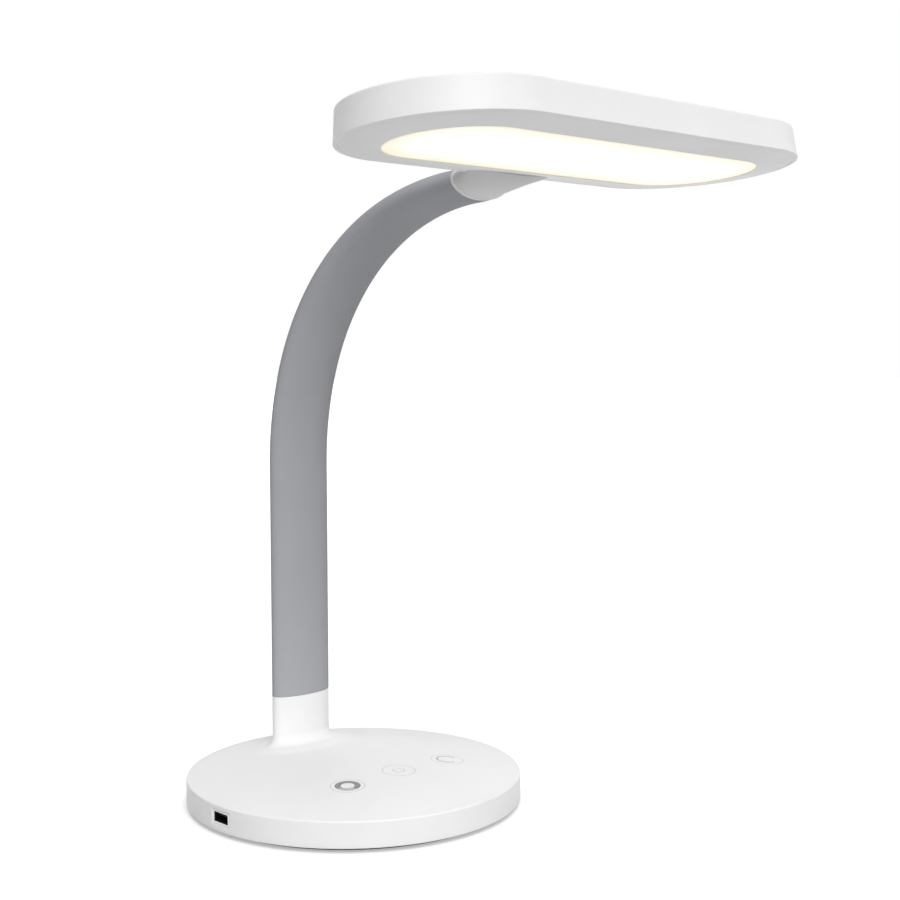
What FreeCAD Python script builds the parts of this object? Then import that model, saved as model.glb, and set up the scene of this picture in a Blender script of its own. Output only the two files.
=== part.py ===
"""Light therapy lamp: a flat light panel on a flexible flat-oval neck over a weighted round base.

Frame: millimetres, +Z up, origin on the floor under the centre of the base.  The panel's long side runs
along X, the neck stands at the back (+Y) and the panel hangs out over the front (-Y).
"""
import FreeCAD, Part
import math
import os
import re

import Sketcher
from FreeCAD import Placement, Rotation, Vector

# ---------------------------------------------------------------------------------------------------------
# Driving dimensions: name, value in millimetres or degrees
# ---------------------------------------------------------------------------------------------------------
SIZES = [
    # base
    ("base_diameter", 200.0),
    ("rim_height", 15.2),
    ("rim_edge", 1.0),
    ("cover_wall", 2.5),
    ("pad_height", 2.4),
    ("pad_inset", 6.0),
    ("plate_thick", 2.2),
    ("plate_fit", 0.3),
    ("ballast_inset", 11.0),
    ("ballast_thick", 5.0),
    ("screw_inset", 20.0),
    ("screw_count", 6),
    ("screw_shank", 3.0),
    ("screw_head", 5.6),
    ("screw_head_thick", 1.6),
    ("screw_length", 9.0),
    ("boss_diameter", 7.6),
    ("hole_gap", 0.3),
    ("screw_turn_angle", 30.0),
    ("screw_head_gap", 1.2),
    ("pilot_spare", 0.5),
    ("overshoot", 1.0),
    # controls and connectors
    ("mark_pitch", 39.0),
    ("mark_row_front", 40.0),
    ("mark_diameter", 20.0),
    ("mark_line", 0.6),
    ("mark_thick", 0.15),
    ("level_symbol_diameter", 14.8),
    ("level_symbol_hole", 7.8),
    ("power_symbol_diameter", 7.6),
    ("mode_symbol_diameter", 13.4),
    ("touch_board_length", 100.0),
    ("touch_board_width", 24.0),
    ("touch_post", 6.0),
    ("board_thick", 1.2),
    ("board_gap", 3.0),
    ("board_setback", 7.0),
    ("board_post", 6.0),
    ("board_screw", 2.0),
    ("board_screw_inset", 5.5),
    ("board_screw_bite", 2.0),
    ("board_screw_head", 4.0),
    ("board_screw_head_thick", 1.4),
    ("control_board_length", 50.0),
    ("control_board_width", 34.0),
    ("chip_size", 10.0),
    ("chip_thick", 1.4),
    ("coil_diameter", 8.0),
    ("coil_height", 4.0),
    ("usb_front", 2.2),
    ("usb_level", 7.9),
    ("usb_width", 13.1),
    ("usb_height", 5.7),
    ("usb_length", 14.0),
    ("usb_shell", 0.3),
    ("usb_recess", 0.9),
    ("usb_frame_width", 15.4),
    ("usb_frame_height", 7.6),
    ("usb_frame_thick", 1.4),
    ("usb_frame_recess", 0.6),
    ("usb_tongue_width", 11.0),
    ("usb_tongue_thick", 1.9),
    ("usb_tongue_recess", 2.0),
    ("jack_recess", 0.6),
    ("jack_nose", 7.5),
    ("jack_width", 9.4),
    ("jack_height", 9.6),
    ("jack_length", 13.0),
    ("jack_bore", 6.3),
    ("jack_depth", 10.0),
    ("jack_pin", 2.1),
    # foot of the neck
    ("neck_setback", 48.6),
    ("dome_height", 8.3),
    ("dome_fullness", 2.7),
    ("foot_height", 39.0),
    ("foot_wall", 2.0),
    ("foot_flare", 5.5),
    ("flare_height", 6.5),
    ("anchor_length", 46.0),
    ("anchor_width", 28.0),
    ("anchor_thick", 3.0),
    ("cheek_width", 20.0),
    ("cheek_thick", 2.2),
    ("cheek_height", 24.0),
    ("anchor_bolt", 4.0),
    ("anchor_bolt_head", 7.0),
    ("anchor_bolt_head_thick", 2.2),
    ("anchor_bolt_pitch", 34.0),
    ("anchor_bolt_pitch_deep", 18.0),
    # neck
    ("neck_width", 42.4),
    ("neck_thick", 18.1),
    ("straight_length", 143.2),
    ("lower_radius", 174.0),
    ("lower_angle", 20.0),
    ("middle_radius", 148.5),
    ("middle_angle", 50.0),
    ("upper_radius", 174.0),
    ("upper_angle", 19.0),
    ("lower_fold_angle", 8.0),
    ("lower_open_angle", 10.0),
    ("upper_fold_angle", 10.0),
    ("upper_open_angle", 20.0),
    ("spare_angle", 0.6),
    ("core_width", 29.4),
    ("core_thick", 9.7),
    ("link_width", 22.0),
    ("link_thick", 4.0),
    ("knuckle_diameter", 9.0),
    ("knuckle_gap", 0.7),
    ("middle_lug", 9.6),
    ("lug_gap", 0.2),
    ("hinge_pin", 3.0),
    ("running_gap", 0.05),
    ("swivel_pin", 6.0),
    ("swivel_thick", 8.6),
    ("swivel_height", 9.0),
    ("swivel_gap", 0.15),
    ("lead_diameter", 2.2),
    ("lead_gap", 0.2),
    ("lead_end", 3.0),
    # collar
    ("collar_length", 18.6),
    ("collar_rise", 3.36),
    ("collar_wall", 2.0),
    ("collar_reach", 12.9),
    ("collar_width", 62.0),
    ("collar_middle_run", 8.0),
    ("collar_middle_lift", 1.5),
    ("collar_middle_width", 49.5),
    ("collar_middle_thick", 17.9),
    ("collar_back_lift", 1.2),
    ("collar_back_width", 60.0),
    ("collar_back_thick", 16.0),
    ("collar_tip_lift", 4.2),
    ("collar_tip_thick", 10.0),
    # head
    ("head_tilt", 5.42),
    ("head_length", 290.4),
    ("head_width", 114.5),
    ("head_thick", 16.5),
    ("head_draft", 1.6),
    ("head_wall", 2.2),
    ("head_edge", 1.2),
    ("bezel_fit", 0.15),
    ("bezel_thick", 2.2),
    ("bezel_drop", 2.45),
    ("lens_length", 246.6),
    ("lens_width", 72.9),
    ("lens_recess", 0.4),
    ("lens_thick", 2.0),
    ("lens_lip", 2.6),
    ("lens_fit", 0.1),
    ("lens_rebate", 0.5),
    ("guide_thick", 3.0),
    ("sheet_thick", 0.5),
    ("tray_thick", 1.2),
    ("strip_length", 168.0),
    ("strip_thick", 1.0),
    ("led_size", 2.6),
    ("led_thick", 0.7),
    ("led_pitch", 12.0),
    ("layer_gap", 0.1),
    ("tongue_thick", 3.0),
    ("tongue_level", 3.6),
    ("tongue_length", 15.5),
    ("tongue_screw_inset", 5.0),
    ("crank_gap", 2.0),
    ("bracket_length", 92.0),
    ("bracket_width", 34.0),
    ("bracket_thick", 2.0),
    ("bracket_setback", 2.5),
    ("head_screw_bite", 3.8),
    ("cap_thick", 1.2),
    ("bracket_screw_pitch", 78.0),
    ("bracket_screw_pitch_deep", 20.0),
]

document = FreeCAD.newDocument("light_therapy_lamp")
sheet = document.addObject("Spreadsheet::Sheet", "sizes")
for row, (alias, value) in enumerate(SIZES, start=1):
    sheet.set(f"A{row}", alias)
    sheet.set(f"B{row}", str(value))
    sheet.setAlias(f"B{row}", alias)
document.recompute()

ALIASES = re.compile(r"\b(" + "|".join(alias for alias, _ in SIZES) + r")\b")


def size(formula):
    """Work out a formula of named sizes from the sheet."""
    values = {alias: float(sheet.get(alias)) for alias in set(ALIASES.findall(formula))}
    scratch = re.sub(ALIASES, lambda match: repr(values[match.group(0)]), formula)
    return float(FreeCAD.Units.parseQuantity(scratch).Value)


def bind(thing, **formulas):
    """Bind properties of a document object to formulas of named sizes."""
    for name, formula in formulas.items():
        thing.setExpression(name.replace("__", "."), ALIASES.sub(r"sizes.\1", formula))
    return thing


def place(thing, x="0", y="0", z="0"):
    """Bind the position of a document object."""
    return bind(thing, Placement__Base__x=x, Placement__Base__y=y, Placement__Base__z=z)


# ---------------------------------------------------------------------------------------------------------
# Small makers of bound primitives and booleans
# ---------------------------------------------------------------------------------------------------------
TURNS = {
    "x": Rotation(Vector(0, 1, 0), 90),
    "y": Rotation(Vector(1, 0, 0), -90),
    "z": Rotation(),
}


def box(name, length, width, height, x="0", y="0", z="0"):
    """Box centred on x and y, standing on z."""
    thing = document.addObject("Part::Box", name)
    bind(thing, Length=length, Width=width, Height=height)
    return place(thing, f"({x}) - ({length}) / 2", f"({y}) - ({width}) / 2", z)


def cylinder(name, diameter, height, x="0", y="0", z="0", along="z"):
    """Cylinder that starts at the given point and runs along one axis."""
    thing = document.addObject("Part::Cylinder", name)
    bind(thing, Radius=f"({diameter}) / 2", Height=height)
    thing.Placement.Rotation = TURNS[along]
    return place(thing, x, y, z)


def oval(name, width, depth, height, x="0", y="0", z="0"):
    """Upright prism of elliptical section."""
    outline = document.addObject("Part::Ellipse", name + "_outline")
    bind(outline, MajorRadius=f"({width}) / 2", MinorRadius=f"({depth}) / 2")
    place(outline, x, y, z)
    thing = document.addObject("Part::Extrusion", name)
    thing.Base = outline
    thing.DirMode = "Custom"
    thing.Dir = Vector(0, 0, 1)
    thing.Solid = True
    return bind(thing, LengthFwd=height)


def fuse(name, *things):
    """One solid of several."""
    thing = document.addObject("Part::MultiFuse", name)
    thing.Shapes = list(things)
    return thing


def cut(name, base, *tools):
    """A solid with tools taken away."""
    thing = document.addObject("Part::Cut", name)
    thing.Base = base
    thing.Tool = tools[0] if len(tools) == 1 else fuse(name + "_tools", *tools)
    return thing


def common(name, first, second):
    """What two solids share."""
    thing = document.addObject("Part::Common", name)
    thing.Base = first
    thing.Tool = second
    return thing


def group(name, *things):
    """Several loose solids as one sub-part."""
    thing = document.addObject("Part::Compound", name)
    thing.Links = list(things)
    return thing


def feature(name, shape, placement=Placement()):
    """A sub-part whose shape is worked out from the sheet in this file."""
    thing = document.addObject("Part::Feature", name)
    thing.Shape = shape
    thing.Placement = placement
    return thing


NODES = []


def node(name, thing):
    """Make a document object a sub-part of the lamp."""
    thing.Label = name
    NODES.append(thing)
    return thing


def screw_ring():
    """Angles of the base screws, clear of the front, the back and both connectors."""
    count = int(size("screw_count"))
    return [360.0 * index / count + size("screw_turn_angle") for index in range(count)]


def ring_point(angle):
    """Formulas of a point on the screw circle."""
    radius = "(base_diameter / 2 - screw_inset)"
    return (f"{radius} * {math.cos(math.radians(angle))!r}", f"{radius} * {math.sin(math.radians(angle))!r}")


# ---------------------------------------------------------------------------------------------------------
# Base
# ---------------------------------------------------------------------------------------------------------
BASE_TOP = "(pad_height + rim_height)"
INNER_TOP = "(pad_height + rim_height - cover_wall)"
PLATE_TOP = "(pad_height + plate_thick)"
BALLAST_TOP = "(pad_height + plate_thick + ballast_thick)"
FOOT_TOP = "(pad_height + rim_height + foot_height)"
USB_CENTRE = "(pad_height + usb_level)"
BOARD_TOP = f"({USB_CENTRE} - usb_height / 2)"
BOARD_BOTTOM = f"({BOARD_TOP} - board_thick)"
BOARD_LEFT = "(-base_diameter / 2 + board_setback)"
BOARD_MIDDLE = f"({BOARD_LEFT} + control_board_length / 2)"
BOARD_SCREW_X = f"({BOARD_LEFT} + control_board_length - board_screw_inset)"
JACK_BACK = "(base_diameter / 2 - jack_recess)"
JACK_FRONT = "(base_diameter / 2 - cover_wall - hole_gap)"
JACK_CENTRE = f"({PLATE_TOP} + jack_height / 2)"
MARK_ROW = "(-mark_row_front)"
NECK_BACK = "(base_diameter / 2 - neck_setback)"
FLARE_STEPS = [
    (1.0, "dome_height * 0.6"),
    (0.28, "dome_height * 0.8 + flare_height * 0.3"),
    (0.0, "dome_height + flare_height * 0.9"),
]
DOME_STEPS = 12
CHEEK_SHARES = (0.3, 0.75)


def dome_shape(reach, depth):
    """Low dome that is full in its middle and falls off to its edge, turned about the lamp's base axis.

    reach is the radius of its edge, and depth is how far its flat underside lies below that edge.
    """
    height = size("dome_height")
    fullness = size("dome_fullness")
    points = []
    for index in range(DOME_STEPS + 1):
        share = math.sin(math.radians(90 * index / DOME_STEPS))
        points.append(Vector(reach * share, 0, height * (1 - share ** fullness)))
    profile = Part.BSplineCurve()
    profile.interpolate(points)
    corners = [points[-1], Vector(reach, 0, -depth), Vector(0, 0, -depth), points[0]]
    sides = [Part.LineSegment(first, last).toShape() for first, last in zip(corners, corners[1:])]
    wire = Part.Wire(Part.__sortEdges__([profile.toShape()] + sides))
    return Part.Face(wire).revolve(Vector(0, 0, 0), Vector(0, 0, 1), 360)


def outer_dome(name, lift="0"):
    """Dome of the cover's top."""
    return place(feature(name, dome_shape(size("base_diameter / 2 - rim_edge"), size("cover_wall / 2"))),
                 z=f"{BASE_TOP} + {lift}")


def flare():
    """Fillet-like flare between the dome and the foot, lofted between three ovals."""
    rings = []
    for index, (share, level) in enumerate(FLARE_STEPS):
        extra = f"foot_flare * {share}"
        ring = document.addObject("Part::Ellipse", f"flare_ring_{index}")
        bind(ring, MajorRadius=f"neck_width / 2 + {extra}", MinorRadius=f"neck_thick / 2 + {extra}")
        rings.append(place(ring, y=NECK_BACK, z=f"{BASE_TOP} + {level}"))
    thing = document.addObject("Part::Loft", "foot_flare_loft")
    thing.Sections = rings
    thing.Solid = True
    thing.Ruled = False
    return thing


def make_base_cover():
    """Round white cover with its domed top, the oval foot of the neck and openings for the connectors."""
    disc = cylinder("cover_disc", "base_diameter", "rim_height", z="pad_height")
    document.recompute()
    rim = document.addObject("Part::Fillet", "cover_rim")
    rim.Base = disc
    edge = size("rim_edge")
    rounds = []
    for index, item in enumerate(disc.Shape.Edges, start=1):
        if len(item.Vertexes) == 1:
            top = item.CenterOfMass.z > size(f"pad_height + rim_height / 2")
            rounds.append((index, edge if top else edge / 2, edge if top else edge / 2))
    rim.Edges = rounds
    dome = outer_dome("cover_dome")
    foot = oval("foot_tube", "neck_width", "neck_thick", "foot_height + overshoot", y=NECK_BACK,
                z=f"{BASE_TOP} - overshoot")
    skin = fuse("cover_skin", rim, dome, foot, flare())
    room = cylinder("cover_room", "base_diameter - 2 * cover_wall", "rim_height - cover_wall",
                    z="pad_height")
    roof = place(feature("cover_roof", dome_shape(size("base_diameter / 2 - cover_wall"),
                                                  size("cover_wall / 2"))), z=INNER_TOP)
    bore = oval("foot_bore", "neck_width - 2 * foot_wall", "neck_thick - 2 * foot_wall",
                "foot_height + cover_wall + 2 * overshoot", y=NECK_BACK, z=f"{INNER_TOP} - overshoot")
    usb_window = box("usb_window", "4 * cover_wall", "usb_frame_width + 2 * plate_fit",
                     "usb_frame_height + 2 * plate_fit", "-base_diameter / 2", "-usb_front",
                     f"{USB_CENTRE} - usb_frame_height / 2 - plate_fit")
    jack_window = cylinder("jack_window", "jack_nose + hole_gap", "2 * cover_wall + overshoot",
                           y="base_diameter / 2 - 2 * cover_wall", z=JACK_CENTRE, along="y")
    shell = cut("cover_shell", skin, room, roof, bore, usb_window, jack_window)
    posts = []
    pilots = []
    for index, angle in enumerate(screw_ring()):
        x, y = ring_point(angle)
        posts.append(cylinder(f"screw_post_{index}", "boss_diameter",
                              f"{INNER_TOP} - {PLATE_TOP} + cover_wall + dome_height", x, y, PLATE_TOP))
        pilots.append(cylinder(f"screw_pilot_{index}", "screw_shank",
                               "screw_length - plate_thick + pilot_spare", x, y, PLATE_TOP))
    for side in (-1, 1):
        posts.append(cylinder(f"touch_post_{side}", "touch_post", "cover_wall + dome_height",
                              f"{side} * mark_pitch / 2", MARK_ROW, INNER_TOP))
    trimmed = common("posts_in_cover", skin, fuse("posts", *posts))
    return node("base_cover", cut("base_cover", fuse("cover_with_posts", shell, trimmed), *pilots))


def make_base_plate():
    """Bottom plate with its screw holes and two posts for the control board."""
    disc = cylinder("plate_disc", "base_diameter - 2 * cover_wall - 2 * plate_fit", "plate_thick",
                    z="pad_height")
    posts = [cylinder(f"board_post_{index}", "board_post", f"{BOARD_BOTTOM} - {PLATE_TOP} + overshoot",
                      BOARD_SCREW_X, y, f"{PLATE_TOP} - overshoot")
             for index, y in enumerate(board_screw_rows())]
    holes = []
    for index, angle in enumerate(screw_ring()):
        x, y = ring_point(angle)
        holes.append(cylinder(f"plate_hole_{index}", "screw_shank + hole_gap", "plate_thick + 2 * overshoot",
                              x, y, "pad_height - overshoot"))
    for index, y in enumerate(board_screw_rows()):
        holes.append(cylinder(f"post_hole_{index}", "board_screw", "board_screw_bite + overshoot",
                              BOARD_SCREW_X, y, f"{BOARD_BOTTOM} - board_screw_bite"))
    return node("base_plate", cut("base_plate", fuse("plate_with_posts", disc, *posts), *holes))


def board_screw_rows():
    """Formulas of the two control-board screws' places along Y."""
    return [f"-usb_front + {side} * (control_board_width / 2 - board_screw_inset)" for side in (-1, 1)]


def make_ballast():
    """Steel plate that keeps the lamp from tipping forward."""
    disc = cylinder("ballast_disc", "base_diameter - 2 * ballast_inset", "ballast_thick", z=PLATE_TOP)
    deep = "ballast_thick + 2 * overshoot"
    low = f"{PLATE_TOP} - overshoot"
    board_reach = "(board_setback + control_board_length + board_gap)"
    jack_reach = "(cover_wall + hole_gap + jack_length + board_gap)"
    tools = [
        box("board_room", board_reach, "control_board_width + 2 * board_gap", deep,
            f"-base_diameter / 2 + {board_reach} / 2", "-usb_front", low),
        box("jack_room", "jack_width + 2 * board_gap", jack_reach, deep,
            "0", f"base_diameter / 2 - {jack_reach} / 2", low),
    ]
    for index, angle in enumerate(screw_ring()):
        x, y = ring_point(angle)
        tools.append(cylinder(f"post_room_{index}", "boss_diameter + 2 * hole_gap", deep, x, y, low))
    for index, (x, y) in enumerate(anchor_bolt_points()):
        tools.append(cylinder(f"bolt_thread_{index}", "anchor_bolt", deep, x, y, low))
    return node("ballast_plate", cut("ballast_plate", disc, *tools))


def make_rest_pad():
    """Soft non-slip pad that the lamp stands on, with holes over the base screws."""
    disc = cylinder("pad_disc", "base_diameter - 2 * pad_inset", "pad_height")
    holes = []
    for index, angle in enumerate(screw_ring()):
        x, y = ring_point(angle)
        holes.append(cylinder(f"pad_hole_{index}", "screw_head + screw_head_gap",
                              "pad_height + 2 * overshoot", x, y, "-overshoot"))
    return node("rest_pad", cut("rest_pad", disc, *holes))


def make_base_screws():
    """Pan-head screws that hold the bottom plate to the cover."""
    screws = []
    for index, angle in enumerate(screw_ring()):
        x, y = ring_point(angle)
        head = cylinder(f"base_head_{index}", "screw_head", "screw_head_thick", x, y,
                        "pad_height - screw_head_thick")
        shank = cylinder(f"base_shank_{index}", "screw_shank", "screw_length", x, y, "pad_height")
        screws.append(fuse(f"base_screw_{index}", head, shank))
    return node("base_screws", group("base_screws", *screws))


def mark_ring(name, position, outer, inner):
    """Upright tube whose section is a printed ring of one touch control."""
    at = (f"{position} * mark_pitch", MARK_ROW)
    disc = cylinder(name + "_disc", outer, "dome_height + mark_thick + overshoot", *at, BASE_TOP)
    hole = cylinder(name + "_hole", inner, "dome_height + mark_thick + 3 * overshoot", *at,
                    f"{BASE_TOP} - overshoot")
    return cut(name, disc, hole)


def print_on_dome(name, *shapes):
    """Thin ink on the cover's domed top, where upright shapes meet it."""
    ink = [common(f"{shape.Name}_print", cut(f"{shape.Name}_ink", outer_dome(f"{shape.Name}_film", "mark_thick"),
                                             outer_dome(f"{shape.Name}_ground")), shape)
           for shape in shapes]
    return node(name, group(name, *ink))


def make_touch_marks():
    """Three touch controls, left to right: brightness, power and light mode, each in a thin ring."""
    inner = "mark_diameter - 2 * mark_line"
    level = mark_ring("level_ring", -1, "mark_diameter", inner)
    knob = mark_ring("level_symbol", -1, "level_symbol_diameter", "level_symbol_hole")
    print_on_dome("level_mark", level, knob)
    ring = mark_ring("power_ring", 0, "mark_diameter", inner)
    turn = mark_ring("power_symbol", 0, "power_symbol_diameter", "power_symbol_diameter - 3 * mark_line")
    bar = box("power_bar", "mark_line", "power_symbol_diameter / 2 - 2 * mark_line",
              "dome_height + mark_thick + overshoot", "0", MARK_ROW, BASE_TOP)
    print_on_dome("power_mark", ring, turn, bar)
    rim = mark_ring("mode_ring", 1, "mark_diameter", inner)
    arc = mark_ring("mode_symbol", 1, "mode_symbol_diameter", "mode_symbol_diameter - 4 * mark_line")
    side = "mode_symbol_diameter / 2"
    gap = box("mode_gap", side, side, "dome_height + mark_thick + 3 * overshoot",
              f"mark_pitch + {side} / 2", f"{MARK_ROW} - {side} / 2", f"{BASE_TOP} - overshoot")
    print_on_dome("mode_mark", rim, cut("mode_arc", arc, gap))


def make_boards():
    """Touch board on its two posts under the cover's top, and the control board beside the ballast."""
    node("touch_board", box("touch_board", "touch_board_length", "touch_board_width", "board_thick",
                            "0", MARK_ROW, f"{INNER_TOP} - board_thick"))
    board = box("control_board_blank", "control_board_length", "control_board_width", "board_thick",
                BOARD_MIDDLE, "-usb_front", BOARD_BOTTOM)
    chip = box("control_chip", "chip_size", "chip_size", "chip_thick",
               f"{BOARD_MIDDLE} + control_board_length / 8", "-usb_front", BOARD_TOP)
    coil = cylinder("control_coil", "coil_diameter", "coil_height",
                    f"{BOARD_MIDDLE} - control_board_length / 12", "-usb_front - control_board_width / 4",
                    BOARD_TOP)
    holes = [cylinder(f"board_hole_{index}", "board_screw + hole_gap", "board_thick + 2 * overshoot",
                      BOARD_SCREW_X, y, f"{BOARD_BOTTOM} - overshoot")
             for index, y in enumerate(board_screw_rows())]
    node("control_board", cut("control_board", fuse("board_with_parts", board, chip, coil), *holes))
    screws = []
    for index, y in enumerate(board_screw_rows()):
        head = cylinder(f"board_head_{index}", "board_screw_head", "board_screw_head_thick",
                        BOARD_SCREW_X, y, BOARD_TOP)
        shank = cylinder(f"board_shank_{index}", "board_screw", "board_thick + board_screw_bite",
                         BOARD_SCREW_X, y, f"{BOARD_BOTTOM} - board_screw_bite")
        screws.append(fuse(f"board_screw_{index}", head, shank))
    node("board_screws", group("board_screws", *screws))


def make_usb_port():
    """Charging port in the rim: plastic frame, steel shell and the tongue with its contacts."""
    left = "-base_diameter / 2"
    y = "-usb_front"
    frame_x = f"{left} + usb_frame_recess + usb_frame_thick / 2"
    shell_x = f"{left} + usb_recess + usb_length / 2"
    level = f"{USB_CENTRE} - usb_height / 2"
    blank = box("usb_frame_blank", "usb_frame_thick", "usb_frame_width", "usb_frame_height", frame_x, y,
                f"{USB_CENTRE} - usb_frame_height / 2")
    mouth = box("usb_frame_mouth", "usb_frame_thick + 2 * overshoot", "usb_width", "usb_height", frame_x, y,
                level)
    node("usb_frame", cut("usb_frame", blank, mouth))
    tube = box("usb_tube", "usb_length", "usb_width", "usb_height", shell_x, y, level)
    hollow = box("usb_hollow", "usb_length", "usb_width - 2 * usb_shell", "usb_height - 2 * usb_shell",
                 f"{shell_x} - usb_shell", y, f"{level} + usb_shell")
    node("usb_shell", cut("usb_shell", tube, hollow))
    node("usb_tongue", box("usb_tongue", "usb_length - usb_tongue_recess - usb_shell", "usb_tongue_width",
                           "usb_tongue_thick", f"{shell_x} + usb_tongue_recess / 2 - usb_shell / 2", y,
                           f"{level} + usb_height - usb_shell - usb_tongue_thick"))


def make_power_inlet():
    """Round low-voltage inlet in the back of the rim."""
    body = box("jack_body", "jack_width", "jack_length", "jack_height", "0",
               f"{JACK_FRONT} - jack_length / 2", PLATE_TOP)
    nose = cylinder("jack_nose", "jack_nose", f"{JACK_BACK} - {JACK_FRONT} + overshoot",
                    y=f"{JACK_FRONT} - overshoot", z=JACK_CENTRE, along="y")
    bore = cylinder("jack_bore_tool", "jack_bore", "jack_depth + overshoot", y=f"{JACK_BACK} - jack_depth",
                    z=JACK_CENTRE, along="y")
    pin = cylinder("jack_centre_pin", "jack_pin", "jack_depth - overshoot / 2",
                   y=f"{JACK_BACK} - jack_depth - overshoot / 2", z=JACK_CENTRE, along="y")
    node("power_inlet", fuse("power_inlet", cut("jack_bored", fuse("jack_outer", body, nose), bore), pin))


def anchor_bolt_points():
    """Formulas of the four anchor bolts' places."""
    return [(f"{side} * anchor_bolt_pitch / 2", f"{NECK_BACK} + {end} * anchor_bolt_pitch_deep / 2")
            for side in (-1, 1) for end in (-1, 1)]


def cheek_screw_levels():
    """Formulas of the two cheek screws' heights."""
    return [f"{BALLAST_TOP} + anchor_thick + cheek_height * {share}" for share in CHEEK_SHARES]


def make_neck_anchor():
    """Steel clamp on the ballast whose two cheeks hold the lowest link of the neck."""
    flange = box("anchor_flange", "anchor_length", "anchor_width", "anchor_thick", "0", NECK_BACK,
                 BALLAST_TOP)
    cheeks = [box(f"anchor_cheek_{index}", "cheek_width", "cheek_thick", "cheek_height + overshoot", "0",
                  f"{NECK_BACK} + {side} * (link_thick + cheek_thick) / 2",
                  f"{BALLAST_TOP} + anchor_thick - overshoot") for index, side in enumerate((-1, 1))]
    holes = [cylinder(f"anchor_hole_{index}", "anchor_bolt + hole_gap", "anchor_thick + 2 * overshoot", x, y,
                      f"{BALLAST_TOP} - overshoot") for index, (x, y) in enumerate(anchor_bolt_points())]
    holes += [cylinder(f"cheek_hole_{index}", "screw_shank", "link_thick + 2 * cheek_thick + 2 * overshoot",
                       "0", f"{NECK_BACK} - link_thick / 2 - cheek_thick - overshoot", z, "y")
              for index, z in enumerate(cheek_screw_levels())]
    node("neck_anchor", cut("neck_anchor", fuse("anchor_blank", flange, *cheeks), *holes))
    bolts = []
    for index, (x, y) in enumerate(anchor_bolt_points()):
        head = cylinder(f"bolt_head_{index}", "anchor_bolt_head", "anchor_bolt_head_thick", x, y,
                        f"{BALLAST_TOP} + anchor_thick")
        shank = cylinder(f"bolt_shank_{index}", "anchor_bolt", "anchor_thick + ballast_thick", x, y,
                         PLATE_TOP)
        bolts.append(fuse(f"anchor_bolt_{index}", head, shank))
    for index, z in enumerate(cheek_screw_levels()):
        bolts.append(cylinder(f"cheek_screw_{index}", "screw_shank", "link_thick + 2 * cheek_thick", "0",
                              f"{NECK_BACK} - link_thick / 2 - cheek_thick", z, "y"))
    node("anchor_screws", group("anchor_screws", *bolts))


# ---------------------------------------------------------------------------------------------------------
# Neck: eight segments end to end, each a straight run or an arc that bends to the front
# ---------------------------------------------------------------------------------------------------------
AXIS_X = Vector(1, 0, 0)


class Segment:
    """One length of the neck, in its own frame: origin at its lower end, +Z along the neck."""

    def __init__(self, start, length, radius=None):
        self.start = start
        self.length = length
        self.radius = radius

    @property
    def angle(self):
        """Turn of the neck over this segment, in degrees."""
        return math.degrees(self.length / self.radius) if self.radius else 0.0

    def at(self, run):
        """Local placement at a distance along the segment."""
        if not self.radius:
            return Placement(Vector(0, 0, run), Rotation())
        turn = run / self.radius
        point = Vector(0, -self.radius * (1 - math.cos(turn)), self.radius * math.sin(turn))
        return Placement(point, Rotation(AXIS_X, math.degrees(turn)))

    @property
    def end(self):
        """Placement of the segment's upper end in the lamp's frame."""
        return self.start.multiply(self.at(self.length))

    def sweep(self, face, begin, finish):
        """Solid of a face in the local XY plane, carried from one distance to another."""
        moved = face.copy()
        moved.Placement = self.at(begin).multiply(moved.Placement)
        if not self.radius:
            return moved.extrude(Vector(0, 0, finish - begin))
        centre = Vector(0, -self.radius, 0)
        return moved.revolve(centre, AXIS_X, math.degrees((finish - begin) / self.radius))


def arc_length(name):
    """Length of one of the neck's named arcs."""
    return size(f"{name}_radius") * math.radians(size(f"{name}_angle"))


def neck_segments():
    """The neck's segments from the foot to the collar."""
    quarter = size("straight_length / 4")
    lengths = [(quarter, None)] * 4
    lengths += [(arc_length("lower"), size("lower_radius"))]
    lengths += [(arc_length("middle") / 2, size("middle_radius"))] * 2
    lengths += [(arc_length("upper"), size("upper_radius"))]
    segments = []
    start = Placement(Vector(0, size(NECK_BACK), size(FOOT_TOP)), Rotation())
    for length, radius in lengths:
        segments.append(Segment(start, length, radius))
        start = segments[-1].end
    return segments


SEGMENTS = neck_segments()
FIXED = "fixed"
SWIVEL = "swivel"
LOWER = "lower"
UPPER = "upper"
ENDS = [FIXED, LOWER, SWIVEL, LOWER, LOWER, UPPER, UPPER, UPPER, FIXED]


def stadium_wire(length, width, level):
    """Stadium outline at a level."""
    radius = width / 2
    half = length / 2 - radius
    corners = [Vector(-half, -radius, level), Vector(half, -radius, level), Vector(half, radius, level),
               Vector(-half, radius, level)]
    edges = [Part.LineSegment(corners[0], corners[1]).toShape(),
             Part.Arc(corners[1], Vector(half + radius, 0, level), corners[2]).toShape(),
             Part.LineSegment(corners[2], corners[3]).toShape(),
             Part.Arc(corners[3], Vector(-half - radius, 0, level), corners[0]).toShape()]
    return Part.Wire(edges)


def rectangle(width, thick, x=0.0, y=0.0):
    """Face in the XY plane, centred on a point."""
    corners = [Vector(x - width / 2, y - thick / 2, 0), Vector(x + width / 2, y - thick / 2, 0),
               Vector(x + width / 2, y + thick / 2, 0), Vector(x - width / 2, y + thick / 2, 0)]
    return Part.Face(Part.makePolygon(corners + corners[:1]))


def oval_face(width, thick):
    """Elliptical face in the XY plane."""
    return Part.Face(Part.Wire(Part.Ellipse(Vector(0, 0, 0), width / 2, thick / 2).toShape()))


def core_face():
    """The sleeve's round-ended slot for the links and leads."""
    return Part.Face(stadium_wire(size("core_width"), size("core_thick"), 0))


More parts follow.
